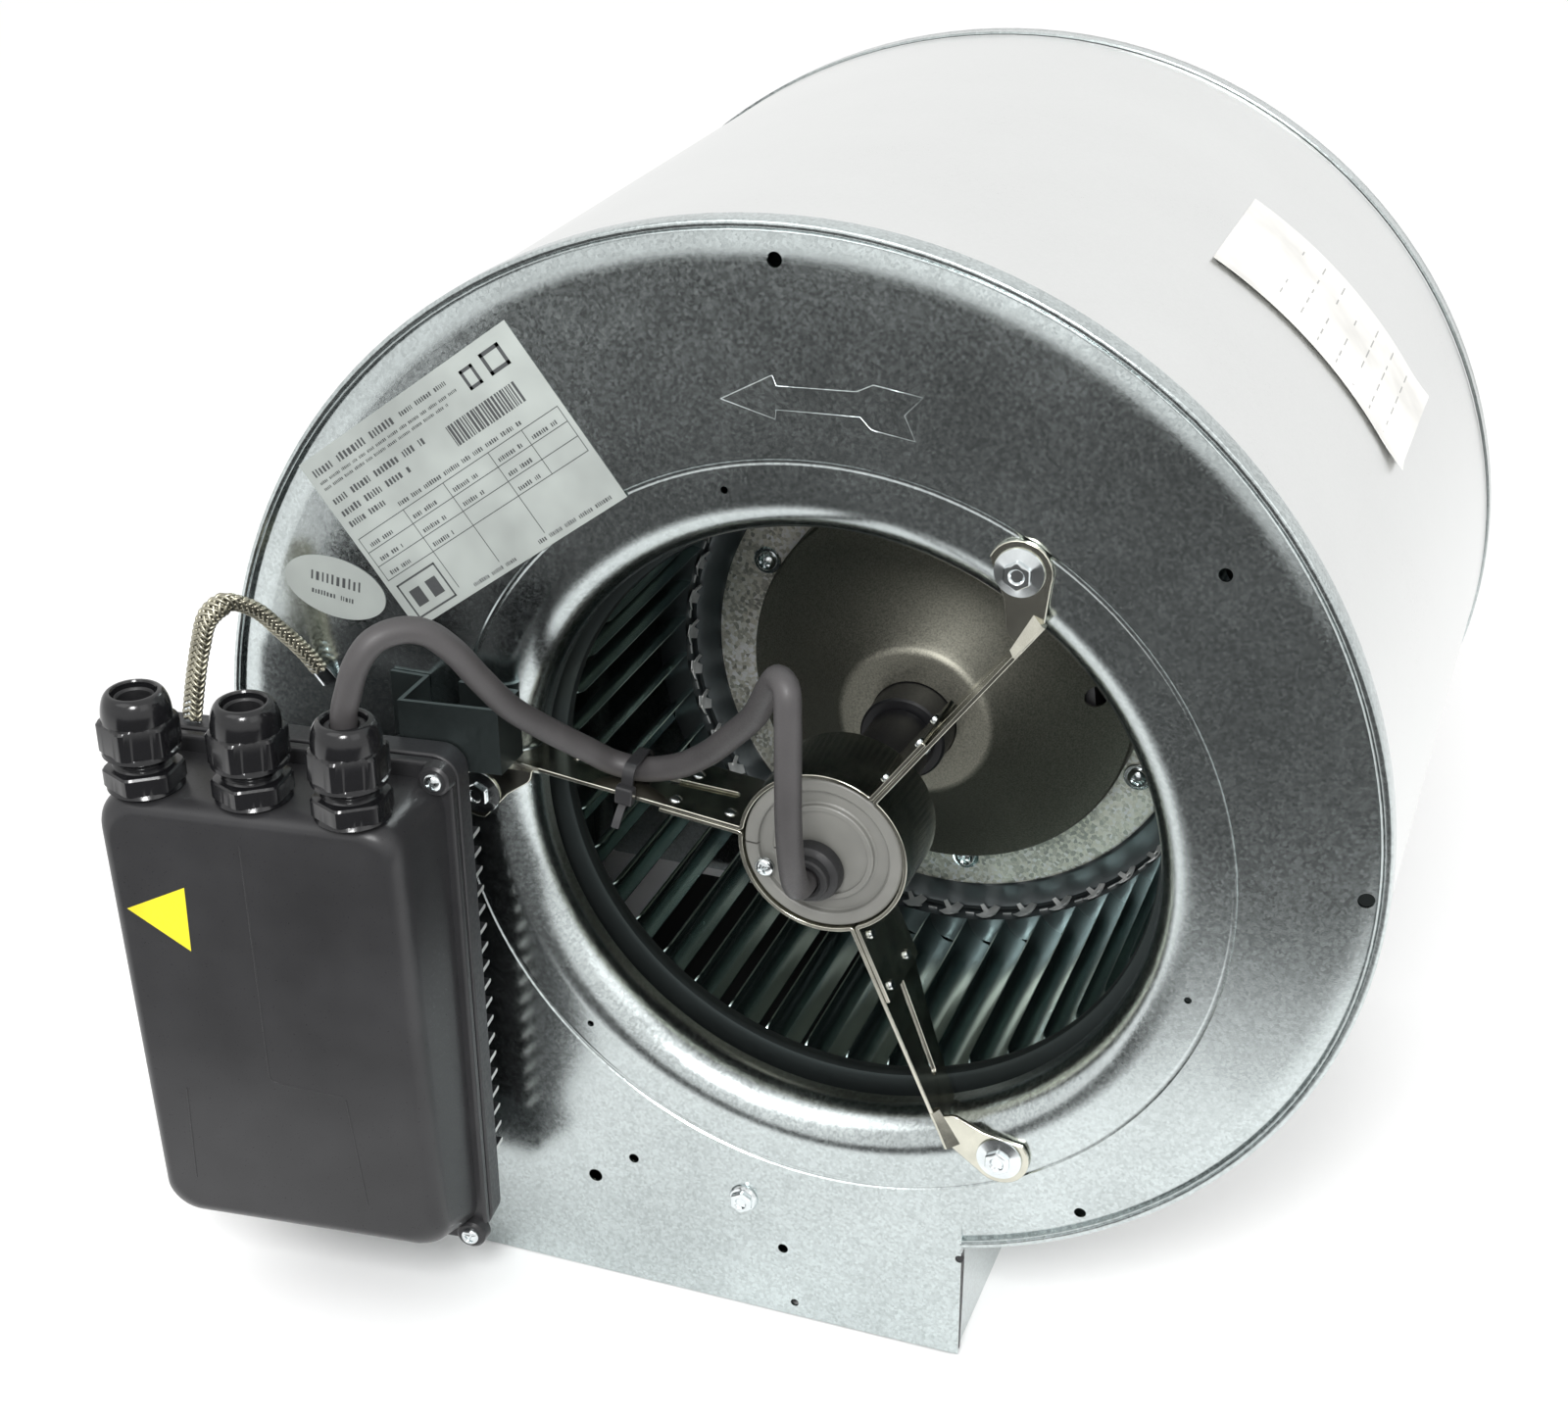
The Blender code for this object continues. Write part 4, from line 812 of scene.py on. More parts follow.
def strap_tab(name, angle):
    """The arm's outer end, folded flat onto the inlet lip, with a rounded end round its bolt."""
    bolt = on_circle(BOLT_CIRCLE, BOLT_TURN)
    outline = arc(bolt, 10.6, -70, 105, 14)
    outline += fillet([(118.0, 14.0), (109.5, 6.0), (109.0, -1.2), (119.5, -1.5)], 2.0)
    tab = piece(name, about_axis(extruded(outline, -2.0, -0.35), angle), "strap")
    cut(tab, [about_axis(extruded(circle(bolt, 3.2, 32), -10, 5), angle)])
    soften(tab, 0.35)
    fold = []
    for share in (0.0, 0.2, 0.4, 0.6, 0.8, 1.0):
        radius = 106.0 + 15.0 * share
        lift = math.sin(math.pi * min(1.0, share * 1.15)) * 0.18
        out = 1.6 + 2.2 * share
        section = ((-4.0 + lift, -1.65), (-4.4 + lift, -0.6), (-2.0, out), (-0.8, out), (0.2 - share, -1.65))
        fold.append([(radius, y, across) for y, across in section])
    piece(name + "_fold", about_axis(swept(fold), angle), "strap")


def motor():
    """Bush with its cap and grommet, fixed hollow shaft, straps and their bolts."""
    shell = BUSH_RADIUS - 1.5
    bush = [(BUSH_RADIUS - 0.3, 4.3), (BUSH_RADIUS, 4.6), (BUSH_RADIUS, BUSH_REAR - 0.8)]
    bush += [(BUSH_RADIUS - 0.8, BUSH_REAR), (NECK_RADIUS + 0.3, BUSH_REAR), (NECK_RADIUS + 0.3, 9.8)]
    bush += [(shell, 9.8), (shell, 4.3)]
    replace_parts(piece("bush", turned(bush, 96), "neck"), "shaft_bush")

    face = [(0, -2.2), (15.8, -2.2), (16.1, -2.5), (16.1, -2.9), (17.6, -3.0), (18.0, -2.7), (18.2, -1.4)]
    face += [(18.8, -1.0), (22.8, -1.0), (23.2, -1.3), (23.6, -2.7), (24.2, -3.1), (27.6, -3.1), (28.2, -2.7)]
    face += [(28.4, -2.0), (28.4, 4.0), (shell - 0.3, 4.0), (shell - 0.3, 9.0), (shell - 2, 9.0)]
    face += [(shell - 2, 0.6), (0, 0.6)]
    cap = piece("front_cap", turned(face, 128), "cap")
    tools = [extruded(circle(GROMMET, 8.3, 48), -10, 6), extruded(circle(CAP_SCREW, 2.0, 24), -6, 6)]
    tools.append(extruded([(-28.9, -1.0), (-15.0, -1.8), (-15.0, -1.1), (-28.9, -0.3)], -6, -1.2))
    cut(cap, tools)
    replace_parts(cap, "bush_cap")
    cross_screw("cap_screw", CAP_SCREW, -3.2, 3.5, "bush_cap_screw", 30)

    bore = CABLE_RADIUS + 0.1
    sleeve = [(bore, 2.2), (bore, -12.2), (bore + 0.5, -13.2), (bore + 1.6, -13.7), (7.4, -13.4)]
    sleeve += [(8.0, -12.6), (8.2, -10.0), (9.2, -9.6), (10.4, -8.6), (11.0, -7.0), (11.1, -4.2)]
    sleeve += [(10.6, -3.3), (8.1, -3.2), (8.1, 0.8), (9.4, 0.8), (9.4, 2.2)]
    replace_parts(piece("grommet", turned(sleeve, 64, GROMMET), "rubber"), "cable_grommet")

    shaft = [(NECK_RADIUS, 10.1), (NECK_RADIUS, 46), (NECK_RADIUS + 0.5, 46.4), (NECK_RADIUS + 0.5, 58)]
    shaft += [(NECK_RADIUS, 58.4), (NECK_RADIUS, 83.4), (NECK_RADIUS - 0.8, NECK_REAR)]
    shaft += [(SHAFT_RADIUS, NECK_REAR), (SHAFT_RADIUS, SHAFT_REAR - 1), (SHAFT_RADIUS - 1, SHAFT_REAR)]
    shaft += [(5.2, SHAFT_REAR), (5.2, 10.1)]
    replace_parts(piece("fixed_shaft", turned(shaft, 96), "neck"), "motor_shaft")
    for node, look in (
        ("stator", "copper"), ("rotor", "laminations"), ("bearing_front", "steel"), ("bearing_rear", "steel"),
    ):
        finish_node(node, look)
    for number, angle in enumerate(ARM_ANGLES, 1):
        support_strap(number)
        at = on_circle(BOLT_CIRCLE, angle + BOLT_TURN)
        screw(f"arm_bolt_{number}", at, -2.1, 8.6, 8.3, f"support_bolt_{number}")


# ---- wheel


def blade(front, rear):
    """A forward-curved blade: radial at its root, nearly along the rim at its tip, its front end rounded."""
    bend = 84.0
    radius = (WHEEL_RADIUS - 0.6 - BLADE_ROOT) / sin(bend)
    corner = 7.0
    rows = [(front + corner * (1 - cos(turn)), sin(turn)) for turn in range(0, 91, 15)]
    rows += [((front + rear) / 2, 1.0), (rear, 1.0)]
    rings = []
    for y, share in rows:
        low = []
        high = []
        for step in range(13):
            turn = bend * step / 12
            out = BLADE_ROOT + max(radius * sin(turn), 8.0 * (1 - share))
            ahead = radius * (1 - cos(turn))
            low.append((out, y, ahead - 0.3))
            high.append((out + 0.3 * sin(turn), y, ahead + 0.3))
        low.append((low[-1][0], y, low[-1][2] + 2.6 * share + 0.1))
        high.append((high[-1][0], y, high[-1][2] + 2.6 * share))
        rings.append(low + high[::-1])
    return swept(rings)


def bent_strip(middle, lean, length, width, radius, rise):
    """A narrow strip on the inside of the drum, its ends bent up towards the axis."""
    along = Vector(on_circle(1.0, lean))
    side = Vector((-along.y, along.x))
    rings = []
    for share in (-1.0, -0.6, -0.2, 0.2, 0.6, 1.0):
        ring = []
        for across, depth in ((-1.0, 0.0), (1.0, 0.0), (1.0, 0.5), (-1.0, 0.5)):
            spot = along * length * share + side * width * across * (1.15 - 0.4 * abs(share))
            ring.append((radius - rise * share**2 - depth, middle + spot.x, spot.y))
        rings.append(ring)
    return swept(rings)


def blade_half(side):
    end = BLADE_END if side == "front" else SPACING - BLADE_REAR
    slots = WHEEL_FRONT + 6.5
    one = blade(slots, end)
    blades = merged([about_axis(one, PITCH * number) for number in range(BLADES)])
    drum = piece("blades_" + side, mirrored(blades, side), "blade", "wheel")
    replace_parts(drum, "blade_ring_" + side)
    root = BLADE_ROOT
    rim = WHEEL_RADIUS
    lip = raised(WHEEL_FRONT, [(rim, 0.4), (rim - 0.4, 0), (root + 2.2, 0), (root + 0.6, 0.7), (root, 2.4)])
    lip += raised(slots, [(root, -2.5), (root + 1.2, 1.0), (root + 4.5, 4.0), (root + 9.0, 6.5)])
    lip += raised(slots, [(rim - 0.8, 7.2), (rim, 7.2)])
    # the end ring takes the near-black galvanised colour: painted shade
    piece("end_ring_" + side, mirrored(turned(lip, 172), side), "lip", "wheel")


def centre_band():
    """The band between the two halves, with its row of crossed tabs and the seam that runs between them."""
    band = [(BLADE_ROOT + 0.2, BLADE_END), (BLADE_ROOT + 0.2, BLADE_REAR), (WHEEL_RADIUS - 0.2, BLADE_REAR)]
    band += [(WHEEL_RADIUS - 0.2, BLADE_END)]
    # the centre band takes the darkened galvanised colour: painted shade
    piece("centre_band", turned(band, 172), "band", "wheel")
    middle = (BLADE_END + WHEEL_CENTRE) / 2
    radius = BLADE_ROOT + 0.1
    cross = [bent_strip(middle, 34, 5.0, 2.4, radius, 1.2), bent_strip(middle, -42, 5.4, 1.1, radius, 1.9)]
    seam = about_axis(bent_strip(middle, 90, 1.8, 0.3, radius, 0.0), PITCH / 2)
    one = merged(cross + [seam])
    tabs = merged([about_axis(one, PITCH * (number + 0.5)) for number in range(BLADES)])
    # the tabs' near-white colour is painted highlight
    piece("centre_tabs", tabs, "tabs", "wheel")


def wheel():
    for side in ("front", "rear"):
        blade_half(side)
    centre_band()
    near = WHEEL_CENTRE - 0.6
    inner = DISC_EDGE + 0.3
    ring = [(inner, 0), (96.0, 0), (RING_BEND, 0.3), (98.0, 1.2), (99.0, 1.6), (BLADE_ROOT - 2.4, 1.8)]
    ring += [(BLADE_ROOT - 0.8, 1.2), (BLADE_ROOT - 0.1, -0.4), (BLADE_ROOT + 0.1, 2.6), (98.4, 2.8)]
    ring = raised(near, ring + [(96.5, 1.2), (inner, 1.2)])
    centre = piece("centre_plate", turned(ring, 144), "ring", "wheel")
    # beyond the bend the same sheet takes the darkened colour: painted shade under the blade roots
    second_material(centre, "band", lambda spot, normal: math.hypot(spot.x, spot.z) > RING_BEND * MM)
    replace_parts(centre, "centre_ring_plate")

    rear = WHEEL_CENTRE + 0.9
    dish = [(HUB_RADIUS + 0.4, 99.2), (27.6, 98.8), (29.4, 99.2), (31.0, 100.4), (33.0, 102.6), (45.0, 113.6)]
    dish += [(58.0, 124.0), (68.0, 130.6), (73.5, 133.4), (76.2, 134.6), (77.1, 135.8), (DISC_EDGE, 137.5)]
    dish += [(DISC_EDGE, rear), (DISC_FLANGE, rear), (DISC_FLANGE, rear + 1.2), (DISC_EDGE - 1.2, rear + 1.2)]
    dish += [(DISC_EDGE - 1.2, 138.0), (72.8, 134.6), (57.0, 125.0), (44.0, 114.6), (31.0, 103.4)]
    dish += [(28.4, 100.4), (HUB_RADIUS + 0.4, 100.4)]
    disc = piece("dish", turned(dish, 144), "disc", "wheel")
    cut(disc, [extruded(circle(on_circle(63.3, 7), 4.2, 32), 110, 140)])
    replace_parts(disc, "dished_disc")

    front = NECK_REAR + 0.4
    hub = [(9.5, front), (HUB_RADIUS - 0.8, front), (HUB_RADIUS, front + 0.8), (HUB_RADIUS, 102.5)]
    hub += [(26, 102.5), (26, 106), (14.5, 106), (14.5, 86.7), (9.5, 86.7)]
    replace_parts(piece("hub", turned(hub, 96), "neck", "wheel"), "wheel_hub")

    flange = WHEEL_CENTRE + 2.4
    can = raised(flange, [(DISC_FLANGE, 0), (DISC_FLANGE, 1.2), (67.5, 1.2), (66.3, 2.0), (66.0, 3.2)])
    can += raised(ROTOR_CAN_REAR, [(66.0, -5), (65.1, -2.2), (62.5, -0.4), (60.0, 0), (34, 0), (32.5, -0.5)])
    can += raised(ROTOR_CAN_REAR, [(31.5, -1.6), (20, -1.6), (18.6, -1.2), (17.6, 0), (9.5, 0), (9.5, -1.5)])
    can += raised(ROTOR_CAN_REAR, [(14.5, -1.5), (14.5, -13), (17.0, -13), (17.0, -3), (58, -3), (64.5, -8)])
    can.append((64.5, flange))
    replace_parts(piece("rear_can", turned(can, 128), "disc", "wheel"), "rotor_can")

    washer = raised(near, [(1.8, -0.05), (5.6, -0.05), (5.7, -0.5), (5.3, -0.8), (1.8, -0.8)])
    for number in range(1, 7):
        at = on_circle(DISC_BOLT_CIRCLE, DISC_BOLT_TURN + 60 * number)
        turn = 37 * number - 22  # every cross stands another way
        cross_screw(f"disc_screw_{number}", at, near - 0.9, 4.0, f"disc_bolt_{number}", turn, "wheel")
        piece(f"disc_washer_{number}", turned(washer, 40, at), "screw", "wheel")


# ---- drive box


def box_sections():
    """Rounded rectangles from the seam to the front face of the cover."""
    fillet_size = 9.0
    side_step = 3.0
    foot_step = 4.0
    front = -BOX_DEPTH
    rings = []
    levels = [BOX_SEAM - 0.8, BOX_SEAM - 8, BOX_SEAM - 18]
    levels += [front + fillet_size * (1 - sin(turn)) for turn in range(0, 91, 9)]
    for level in levels:
        share = (level - BOX_SEAM) / (front - BOX_SEAM)
        past = max(0.0, (front + fillet_size - level) / fillet_size)
        shrink = fillet_size * (1 - math.sqrt(max(0.0, 1 - past**2))) * 0.6
        edge = side_step + (FACE_INSET - side_step) * share + shrink
        foot = foot_step + (FACE_BOTTOM + BOX_HEIGHT / 2 - foot_step) * share + shrink
        low = (edge - BOX_WIDTH, foot - BOX_HEIGHT / 2)
        ring = []
        for x, z in rounded_rectangle(low, (-edge, FACE_TOP - shrink), 12, 10):
            deeper = FACE_SLOPE * (FACE_TOP - z) / (FACE_TOP - FACE_BOTTOM) * share
            ring.append((x, level + deeper, z))
        rings.append(ring)
    return rings


def cover_screw_places():
    x = BOX_WIDTH / 2 - 5.2
    z = BOX_HEIGHT / 2 - 5.2
    return [(-BOX_WIDTH / 2 + a * x, b * z) for a in (1, -1) for b in (1, -1)]


def face_y(z):
    """Depth of the cover's sloping front at a height in the box frame."""
    return -BOX_DEPTH + FACE_SLOPE * (FACE_TOP - z) / (FACE_TOP - FACE_BOTTOM)


def drive_box():
    outline = rounded_rectangle((-BOX_WIDTH, -BOX_HEIGHT / 2), (0, BOX_HEIGHT / 2), 9, 8)
    cover = piece("cover", swept(box_sections()), "box", local=box_point)
    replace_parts(cover, "drive_cover")
    flange = piece("cover_flange", extruded(outline, BOX_SEAM - 4.5, BOX_SEAM), "box", local=box_point)
    soften(flange, 1.2, 3)
    boss = raised(BOX_SEAM, [(0, -8.2), (4.6, -8.2), (5.6, -7.4), (6.2, -3), (0, -3)])
    rest = BOX_SEAM - 7.9
    for number, at in enumerate(cover_screw_places(), 1):
        piece(f"cover_boss_{number}", turned(boss, 40, at), "box", local=box_point)
        turn = 31 * number - 11
        node = f"cover_screw_{number}"
        cross_screw(f"box_screw_{number}", at, rest, 3.4, node, turn, local=box_point, reach=4.0)
    panel_lines()

    base = piece("heat_sink_base", extruded(outline, BOX_SEAM + 1.6, 0.0), "sink", local=box_point)
    soften(base, 0.8)
    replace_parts(base, "heat_sink")
    fin_pitch = 8.0
    for number in range(1, 19):
        z = 72.0 - fin_pitch * number
        fin = capsule((-2.0, z), (7.2, z), 0.9)
        made = piece(f"fin_{number}", extruded(fin, -112, -1, "x"), "sink", local=box_point)
        made.data.materials.append(MATERIALS["aluminium"])
        for face in made.data.polygons:
            face.material_index = 1 if len(face.vertices) > 4 else 0
    for node, look in (
        ("cover_gasket", "rubber"), ("circuit_board", "board"), ("capacitor", "tin"),
        # the upper bracket, behind the box, takes the near-black galvanised copy: painted shade
        ("terminal_block", "box"), ("box_bracket_upper", "inside"), ("box_bracket_lower", "plate"),
    ):
        finish_node(node, look)


def panel_lines():
    """The low steps moulded into the cover's front."""
    routes = (((-62.0, 84.0), (-64.5, -16.5), (-37.0, -18.5)), ((-98.0, -25.0), (-100.5, -67.0)),
              ((-36.0, -20.0), (-33.0, -68.0)))
    for number, route in enumerate(routes, 1):
        points = [box_point((x, face_y(z) + 0.12, z)) for x, z in fillet(route, 4.0)]
        strand(f"panel_line_{number}", [points], 0.35, "box")


def gland(number):
    """Cable gland: hexagon body screwed into the cover, a thread and a domed nut with its seal."""
    x, y = GLANDS[number - 1]
    bore = CABLE_RADIUS + 0.1 if number == len(GLANDS) else 5.8

    def upright(point):
        return box_point((x + point[0], y + point[2], point[1]))

    flat = 12.2
    corner = 13.75
    body = [(bore + 1, -4), (8.2, -4), (8.2, 0), (12.8, 0), (13.1, 0.4), (12.4, 1.5), (flat, 1.7, corner)]
    body += [(flat, 7.4, corner), (flat - 0.5, 8.2, corner - 0.7), (11.0, 8.4)]
    for turn in range(4):
        body += [(10.3, 8.6 + 1.3 * turn), (9.7, 9.25 + 1.3 * turn)]
    body += [(9.7, 14.2), (bore + 1, 14.2)]
    body = turned(raised(FACE_TOP + 0.3, body), 72, flats=6)
    collar = piece(f"gland_collar_{number}", body, "gland", local=upright, sharp=HEX_SHARP)
    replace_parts(collar, f"gland_body_{number}")

    start = FACE_TOP + 13.3
    nut = [(bore + 1.2, 0), (12.6, 0), (13.2, 0.5), (12.9, 1.6), (flat, 2.0, corner), (flat, 11.6, corner)]
    nut += [(flat - 0.4, 12.5, corner - 0.8), (11.9, 12.9)]
    nut += [(8.4 + 3.5 * cos(turn), 13.2 + 9.2 * sin(turn)) for turn in range(0, 91, 10)]
    nut += [(7.9, 22.4), (7.5, 21.8), (7.3, 19.0), (bore + 1.2, 19.0)]
    nut = turned(raised(start, nut), 96, flats=6)
    dome = piece(f"gland_dome_{number}", nut, "gland", local=upright, sharp=HEX_SHARP)
    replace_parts(dome, f"gland_nut_{number}")
    seal = [(bore, 14), (bore, 19.6), (bore + 0.5, 20.3), (6.6, 20.4), (7.3, 19.8), (7.3, 14)]
    piece(f"gland_seal_{number}", turned(raised(start, seal), 48), "rubber", local=upright)


# ---- cable, tie and braid


def cable_route():
    """The route of the CAD model: up out of the third gland, over, along the left arm, into the grommet."""
    x, y = GLANDS[-1]
    up = [box_point((x, y, FACE_TOP + height)) for height in (-10, 8, 24, 37)]
    over = [(-139.8, -67, 67), (-136.5, -65.5, 77.5), (-131.8, -62, 84.9), (-126, -56, 87), (-120, -50, 85)]
    down = [(-114.3, -43, 76.6), (-109.2, -34, 62.2), (-104, -24, 47.7), (-96, -12, 34.6), (-87, -1, 23.1)]
    along_arm = [(-80.6, 4.5, 16.8), (-71.1, 6, 15.0), (-56.5, 4, 19.5), (-42.9, -1, 29.2)]
    rise = [(-28.8, -9, 43.9), (-19, -16, 55.6), (-10.4, -25, 71), (-5, -31, 78.5), (-0.5, -36, 78)]
    fall = [(0.5, -37.5, 68), (0.3, -37, 50), (0, -36, 28), (-0.6, -31.5, 10), (-1.8, -24, -1.5)]
    x, z = GROMMET
    return up + over + down + along_arm + rise + fall + [(x, -15, z), (x, -6, z), (x, 6, z)]


def motor_lead():
    """The motor cable, the object's one cord."""
    line = smooth_line(cable_route(), 200)
    lead = strand("motor_lead", [line], CABLE_RADIUS, "cable", sides=8)
    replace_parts(lead, "motor_cable")
    tuple(place(line[0]))


def lead_tie():
    """The tie that holds the cable on the left arm."""
    tie_outer = rounded_rectangle((-13.6, -5.8), (1.3, 12.2), 4.6, 8)
    tie_inner = rounded_rectangle((-12.5, -4.7), (0.2, 11.1), 3.6, 8)
    angle = ARM_ANGLES[1]

    def standing(outline, low, high):
        points, faces = extruded(outline, low, high, "z")
        return about_axis(([(along, depth, across) for across, depth, along in points], faces), angle)

    tie = piece("lead_tie", standing(tie_outer, 69.7, 73.9), "box")
    cut(tie, [standing(tie_inner, 60, 80)])
    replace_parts(tie, "cable_tie")
    block = rounded_rectangle((-6.2, -8.6), (0.6, -4.4), 1.0, 4)
    head = piece("lead_tie_head", standing(block, 68.6, 75.0), "box")
    soften(head, 0.5)
    tail = [(-0.5, -6.5), (1.5, -9.5), (4.5, -12.0), (7.0, -13.5)]
    left, right = strip_outline(fillet(tail, 2.0), 0.9)
    piece("lead_tie_tail", standing(left + right[::-1], 70.4, 73.2), "box")


def earth_braid():
    """A tinned braid between a lug on the box and one on the side plate: wires crossing round a core."""
    route = [box_point((-100, -6, 103.5)), (-220.5, -34, 45), (-219, -31, 56), (-216, -29, 66)]
    route += [(-210.5, -25, 70.5), (-204.5, -18, 66), (-199, -11.5, 56), (-193.5, -5.5, 45), (-190, -3.2, 38)]
    line = smooth_line(route, 150)
    wires = []
    count = 6
    points_a_turn = 22.0
    for family in (1, -1):
        for wire in range(count):
            points = []
            for index, spot in enumerate(line):
                ahead = (line[min(index + 1, len(line) - 1)] - line[max(index - 1, 0)]).normalized()
                across = ahead.cross(Vector((0.15, 1, 0.1))).normalized()
                out = across.cross(ahead).normalized()
                turn = 2 * math.pi * (wire / count + family * index / points_a_turn)
                weave = 0.3 * math.sin(turn * 3 + family * 1.5)
                a, b = (3.2 + weave) * math.cos(turn), (1.5 + weave) * math.sin(turn)
                points.append(spot + across * a + out * b)
            wires.append(points)
    braid = strand("braid_wires", wires, 0.72, "braid", sides=3)
    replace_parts(braid, "earth_braid")
    strand("braid_core", [line], 1.6, "braid")
    sections = ((-6.5, 3.6, 0.5), (-0.5, 3.6, 0.6), (1.0, 3.3, 1.9), (7.0, 3.2, 1.9), (7.6, 2.9, 1.5))
    for number, (at, toward) in enumerate(((line[0], line[8]), (line[-1], line[-9])), 1):
        along = (toward - at).normalized()
        side = along.cross(Vector((0, 1, 0))).normalized()
        out = side.cross(along)
        rings = []
        for reach, wide, deep in sections:
            middle = at + along * reach
            rings.append([middle + side * (wide * a) + out * (deep * b) for a, b in circle((0, 0), 1.0, 20)])
        piece(f"braid_lug_{number}", swept(rings), "screw")


# ---- labels


def printed_row(marks, start, end, level, height, wide=0.8):
    """Adds a row of plain upright bars of uneven width, in groups, as print seen from afar."""
    position = start
    while position < end:
        group = position + random.uniform(3.0, 8.0) * height / 1.6
        while position < min(group, end):
            bar = wide * height * random.uniform(0.25, 0.6)
            marks.append((position, level, position + bar, level + height * random.uniform(0.8, 1.0)))
            position += bar + 0.28 * height
        position += 0.9 * height


def rating_marks():
    """Plain bars, a row of stripes and a ruled grid that stand in for the rating label's print."""
    marks = []
    rows = ((-48, -8, 27.6, 2.9), (-4, 18, 28.2, 1.7), (-48, 20, 24.6, 1.1), (-48, 14, 22.2, 1.1))
    rows += ((-48, -2, 16.4, 2.5), (-48, -14, 11.4, 2.5), (-48, -30, 7.0, 2.2), (-26, 34, 3.9, 1.6))
    rows += ((12, 46, -32.4, 1.5), (-20, 2, -32.8, 1.4))
    for start, end, level, height in rows:
        printed_row(marks, start, end, level, height)
    position = 8.0
    while position < 40.0:
        bar = random.uniform(0.35, 1.1)
        marks.append((position, 9.4, position + bar, 17.0))
        position += bar + random.uniform(0.35, 0.8)
    for level in (2.2, -3.6, -9.4, -15.2):
        marks.append((-49, level, 49, level + 0.3))
    for across, low in ((-49, -15.2), (-26, -30.0), (-6, -30.0), (16, -30.0), (32, -15.2), (48.7, -15.2)):
        marks.append((across, low, across + 0.3, 2.2))
    cells = ((-2.4, 11, (-46, -24, -4, 18, 34)), (-8.2, 11, (-46, -24)), (-8.2, 10, (-4, 18)))
    cells += ((-14.0, 10, (-46, -24, 18)),)
    for level, long, starts in cells:
        for across in starts:
            printed_row(marks, across, across + long, level, 1.6)
    marks += [(-44.5, -28.5, -39.5, -22.0), (-36.5, -28.5, -31.5, -22.0)]
    boxes = ((-47.5, -32.0, -28.5, -18.0, 0.7), (25, 22.0, 31, 29.4, 1.2), (35, 22.0, 44, 30.2, 1.4))
    for left, bottom, right, top, line in boxes:
        marks += [(left, bottom, right, bottom + line), (left, top - line, right, top)]
        marks += [(left, bottom, left + line, top), (right - line, bottom, right, top)]
    return marks


def print_on(name, marks, put, look):
    """The marks as thin raised cells on a label that is LABEL_SHEET thick."""
    shapes = []
    levels = (LABEL_SHEET, LABEL_SHEET + 0.02)
    for low_a, low_b, high_a, high_b in marks:
        corners = ((low_a, low_b), (high_a, low_b), (high_a, high_b), (low_a, high_b))
        shapes.append(swept([[put(a, b, lift) for a, b in corners] for lift in levels]))
    piece(name, merged(shapes), look)


def curved_sheet(name, size, put, look):
    """A thin rectangular sheet laid on a surface."""
    rings = []
    steps = 24
    for step in range(steps + 1):
        a = -size[0] / 2 + size[0] * step / steps
        half = size[1] / 2
        low = [-half + 2 * half * share / 8 for share in range(9)]
        rings.append([put(a, b, LABEL_SHEET) for b in low] + [put(a, b, 0) for b in low[::-1]])
    return piece(name, swept(rings), look)


def on_front_plate(lean, middle):
    """Gives the function that puts a label's points (a, b, lift) on the front plate."""

    def put(a, b, lift):
        x, z = rotated((a, b), lean, middle)
        return (x, -LABEL_GAP - lift, z)

    return put


def rating_label():
    on_plate = on_front_plate(36.5, (-130.2, 117.0))
    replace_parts(curved_sheet("rating_sheet", (102, 69), on_plate, "film"), "rating_label")
    print_on("rating_print", rating_marks(), on_plate, "ink")


def oval_sticker():
    on_plate = on_front_plate(-8.0, (-182.2, 70.1))
    edge = circle((0, 0), 1.0, 64)
    oval = [[on_plate(20.0 * a, 11.5 * b, lift) for a, b in edge] for lift in (0, LABEL_SHEET)]
    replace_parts(piece("oval_sheet", swept(oval), "film"), "oval_sticker")
    marks = []
    printed_row(marks, -9.5, 9.5, 0.8, 4.2, 0.6)
    printed_row(marks, -9.0, 9.0, -4.4, 1.9)
    print_on("oval_print", marks, on_plate, "ink")


def wrap_label():
    """A paper label round the wrap's upper right, set askew, with two edges that lift."""
    long, wide = 98.0, 79.0
    centre = (SCROLL_CENTRE[0] - SCROLL_STEP, SCROLL_CENTRE[1])
    radius = SCROLL_RADIUS + SCROLL_STEP - 1.2
    skew = math.tan(math.radians(7.0))

    def on_wrap(a, b, lift):
        share = a / long + 0.5
        peel = 1.6 * max(0.0, (share - 0.86) / 0.14) ** 2 + 1.0 * max(0.0, (-b - 34) / 5.5) ** 2
        x, z = on_circle(radius + 0.15 + lift + peel, 57.0 - 28.5 * share, centre)
        return (x, 153.5 + b + skew * long * share, z)

    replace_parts(curved_sheet("wrap_sheet", (long, wide), on_wrap, "paper"), "wrap_label")
    marks = []
    for column in range(7):
        for row in range(6):
            if random.random() < 0.75:
                start = -34 + 11.5 * row
                dash = random.uniform(4.0, 8.5)
                marks.append((-24 + 10.0 * column, start, -23.4 + 10.0 * column, start + dash))
    print_on("wrap_print", marks, on_wrap, "pale_ink")


def triangle_sticker():
    """A plain yellow triangle on the drive box, on a slightly larger dark one."""
    corners = ((-108.5, 52.0), (-86.5, 37.0), (-85.0, 64.0))
    middle = Vector((sum(x for x, z in corners) / 3, sum(z for x, z in corners) / 3))
    for name, scale, lifts, look in (("triangle_edge", 1.0, (0.02, 0.14), "ink"),
                                     ("triangle_sheet", 0.985, (0.10, 0.22), "yellow")):
        rings = []
        for lift in lifts:
            ring = []
            for x, z in corners:
                spot = middle + (Vector((x, z)) - middle) * scale
                ring.append((spot.x, face_y(spot.y) - lift, spot.y))
            rings.append(ring)
        made = piece(name, swept(rings), look, local=box_point)
    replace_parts(made, "triangle_sticker")


# ---- studio


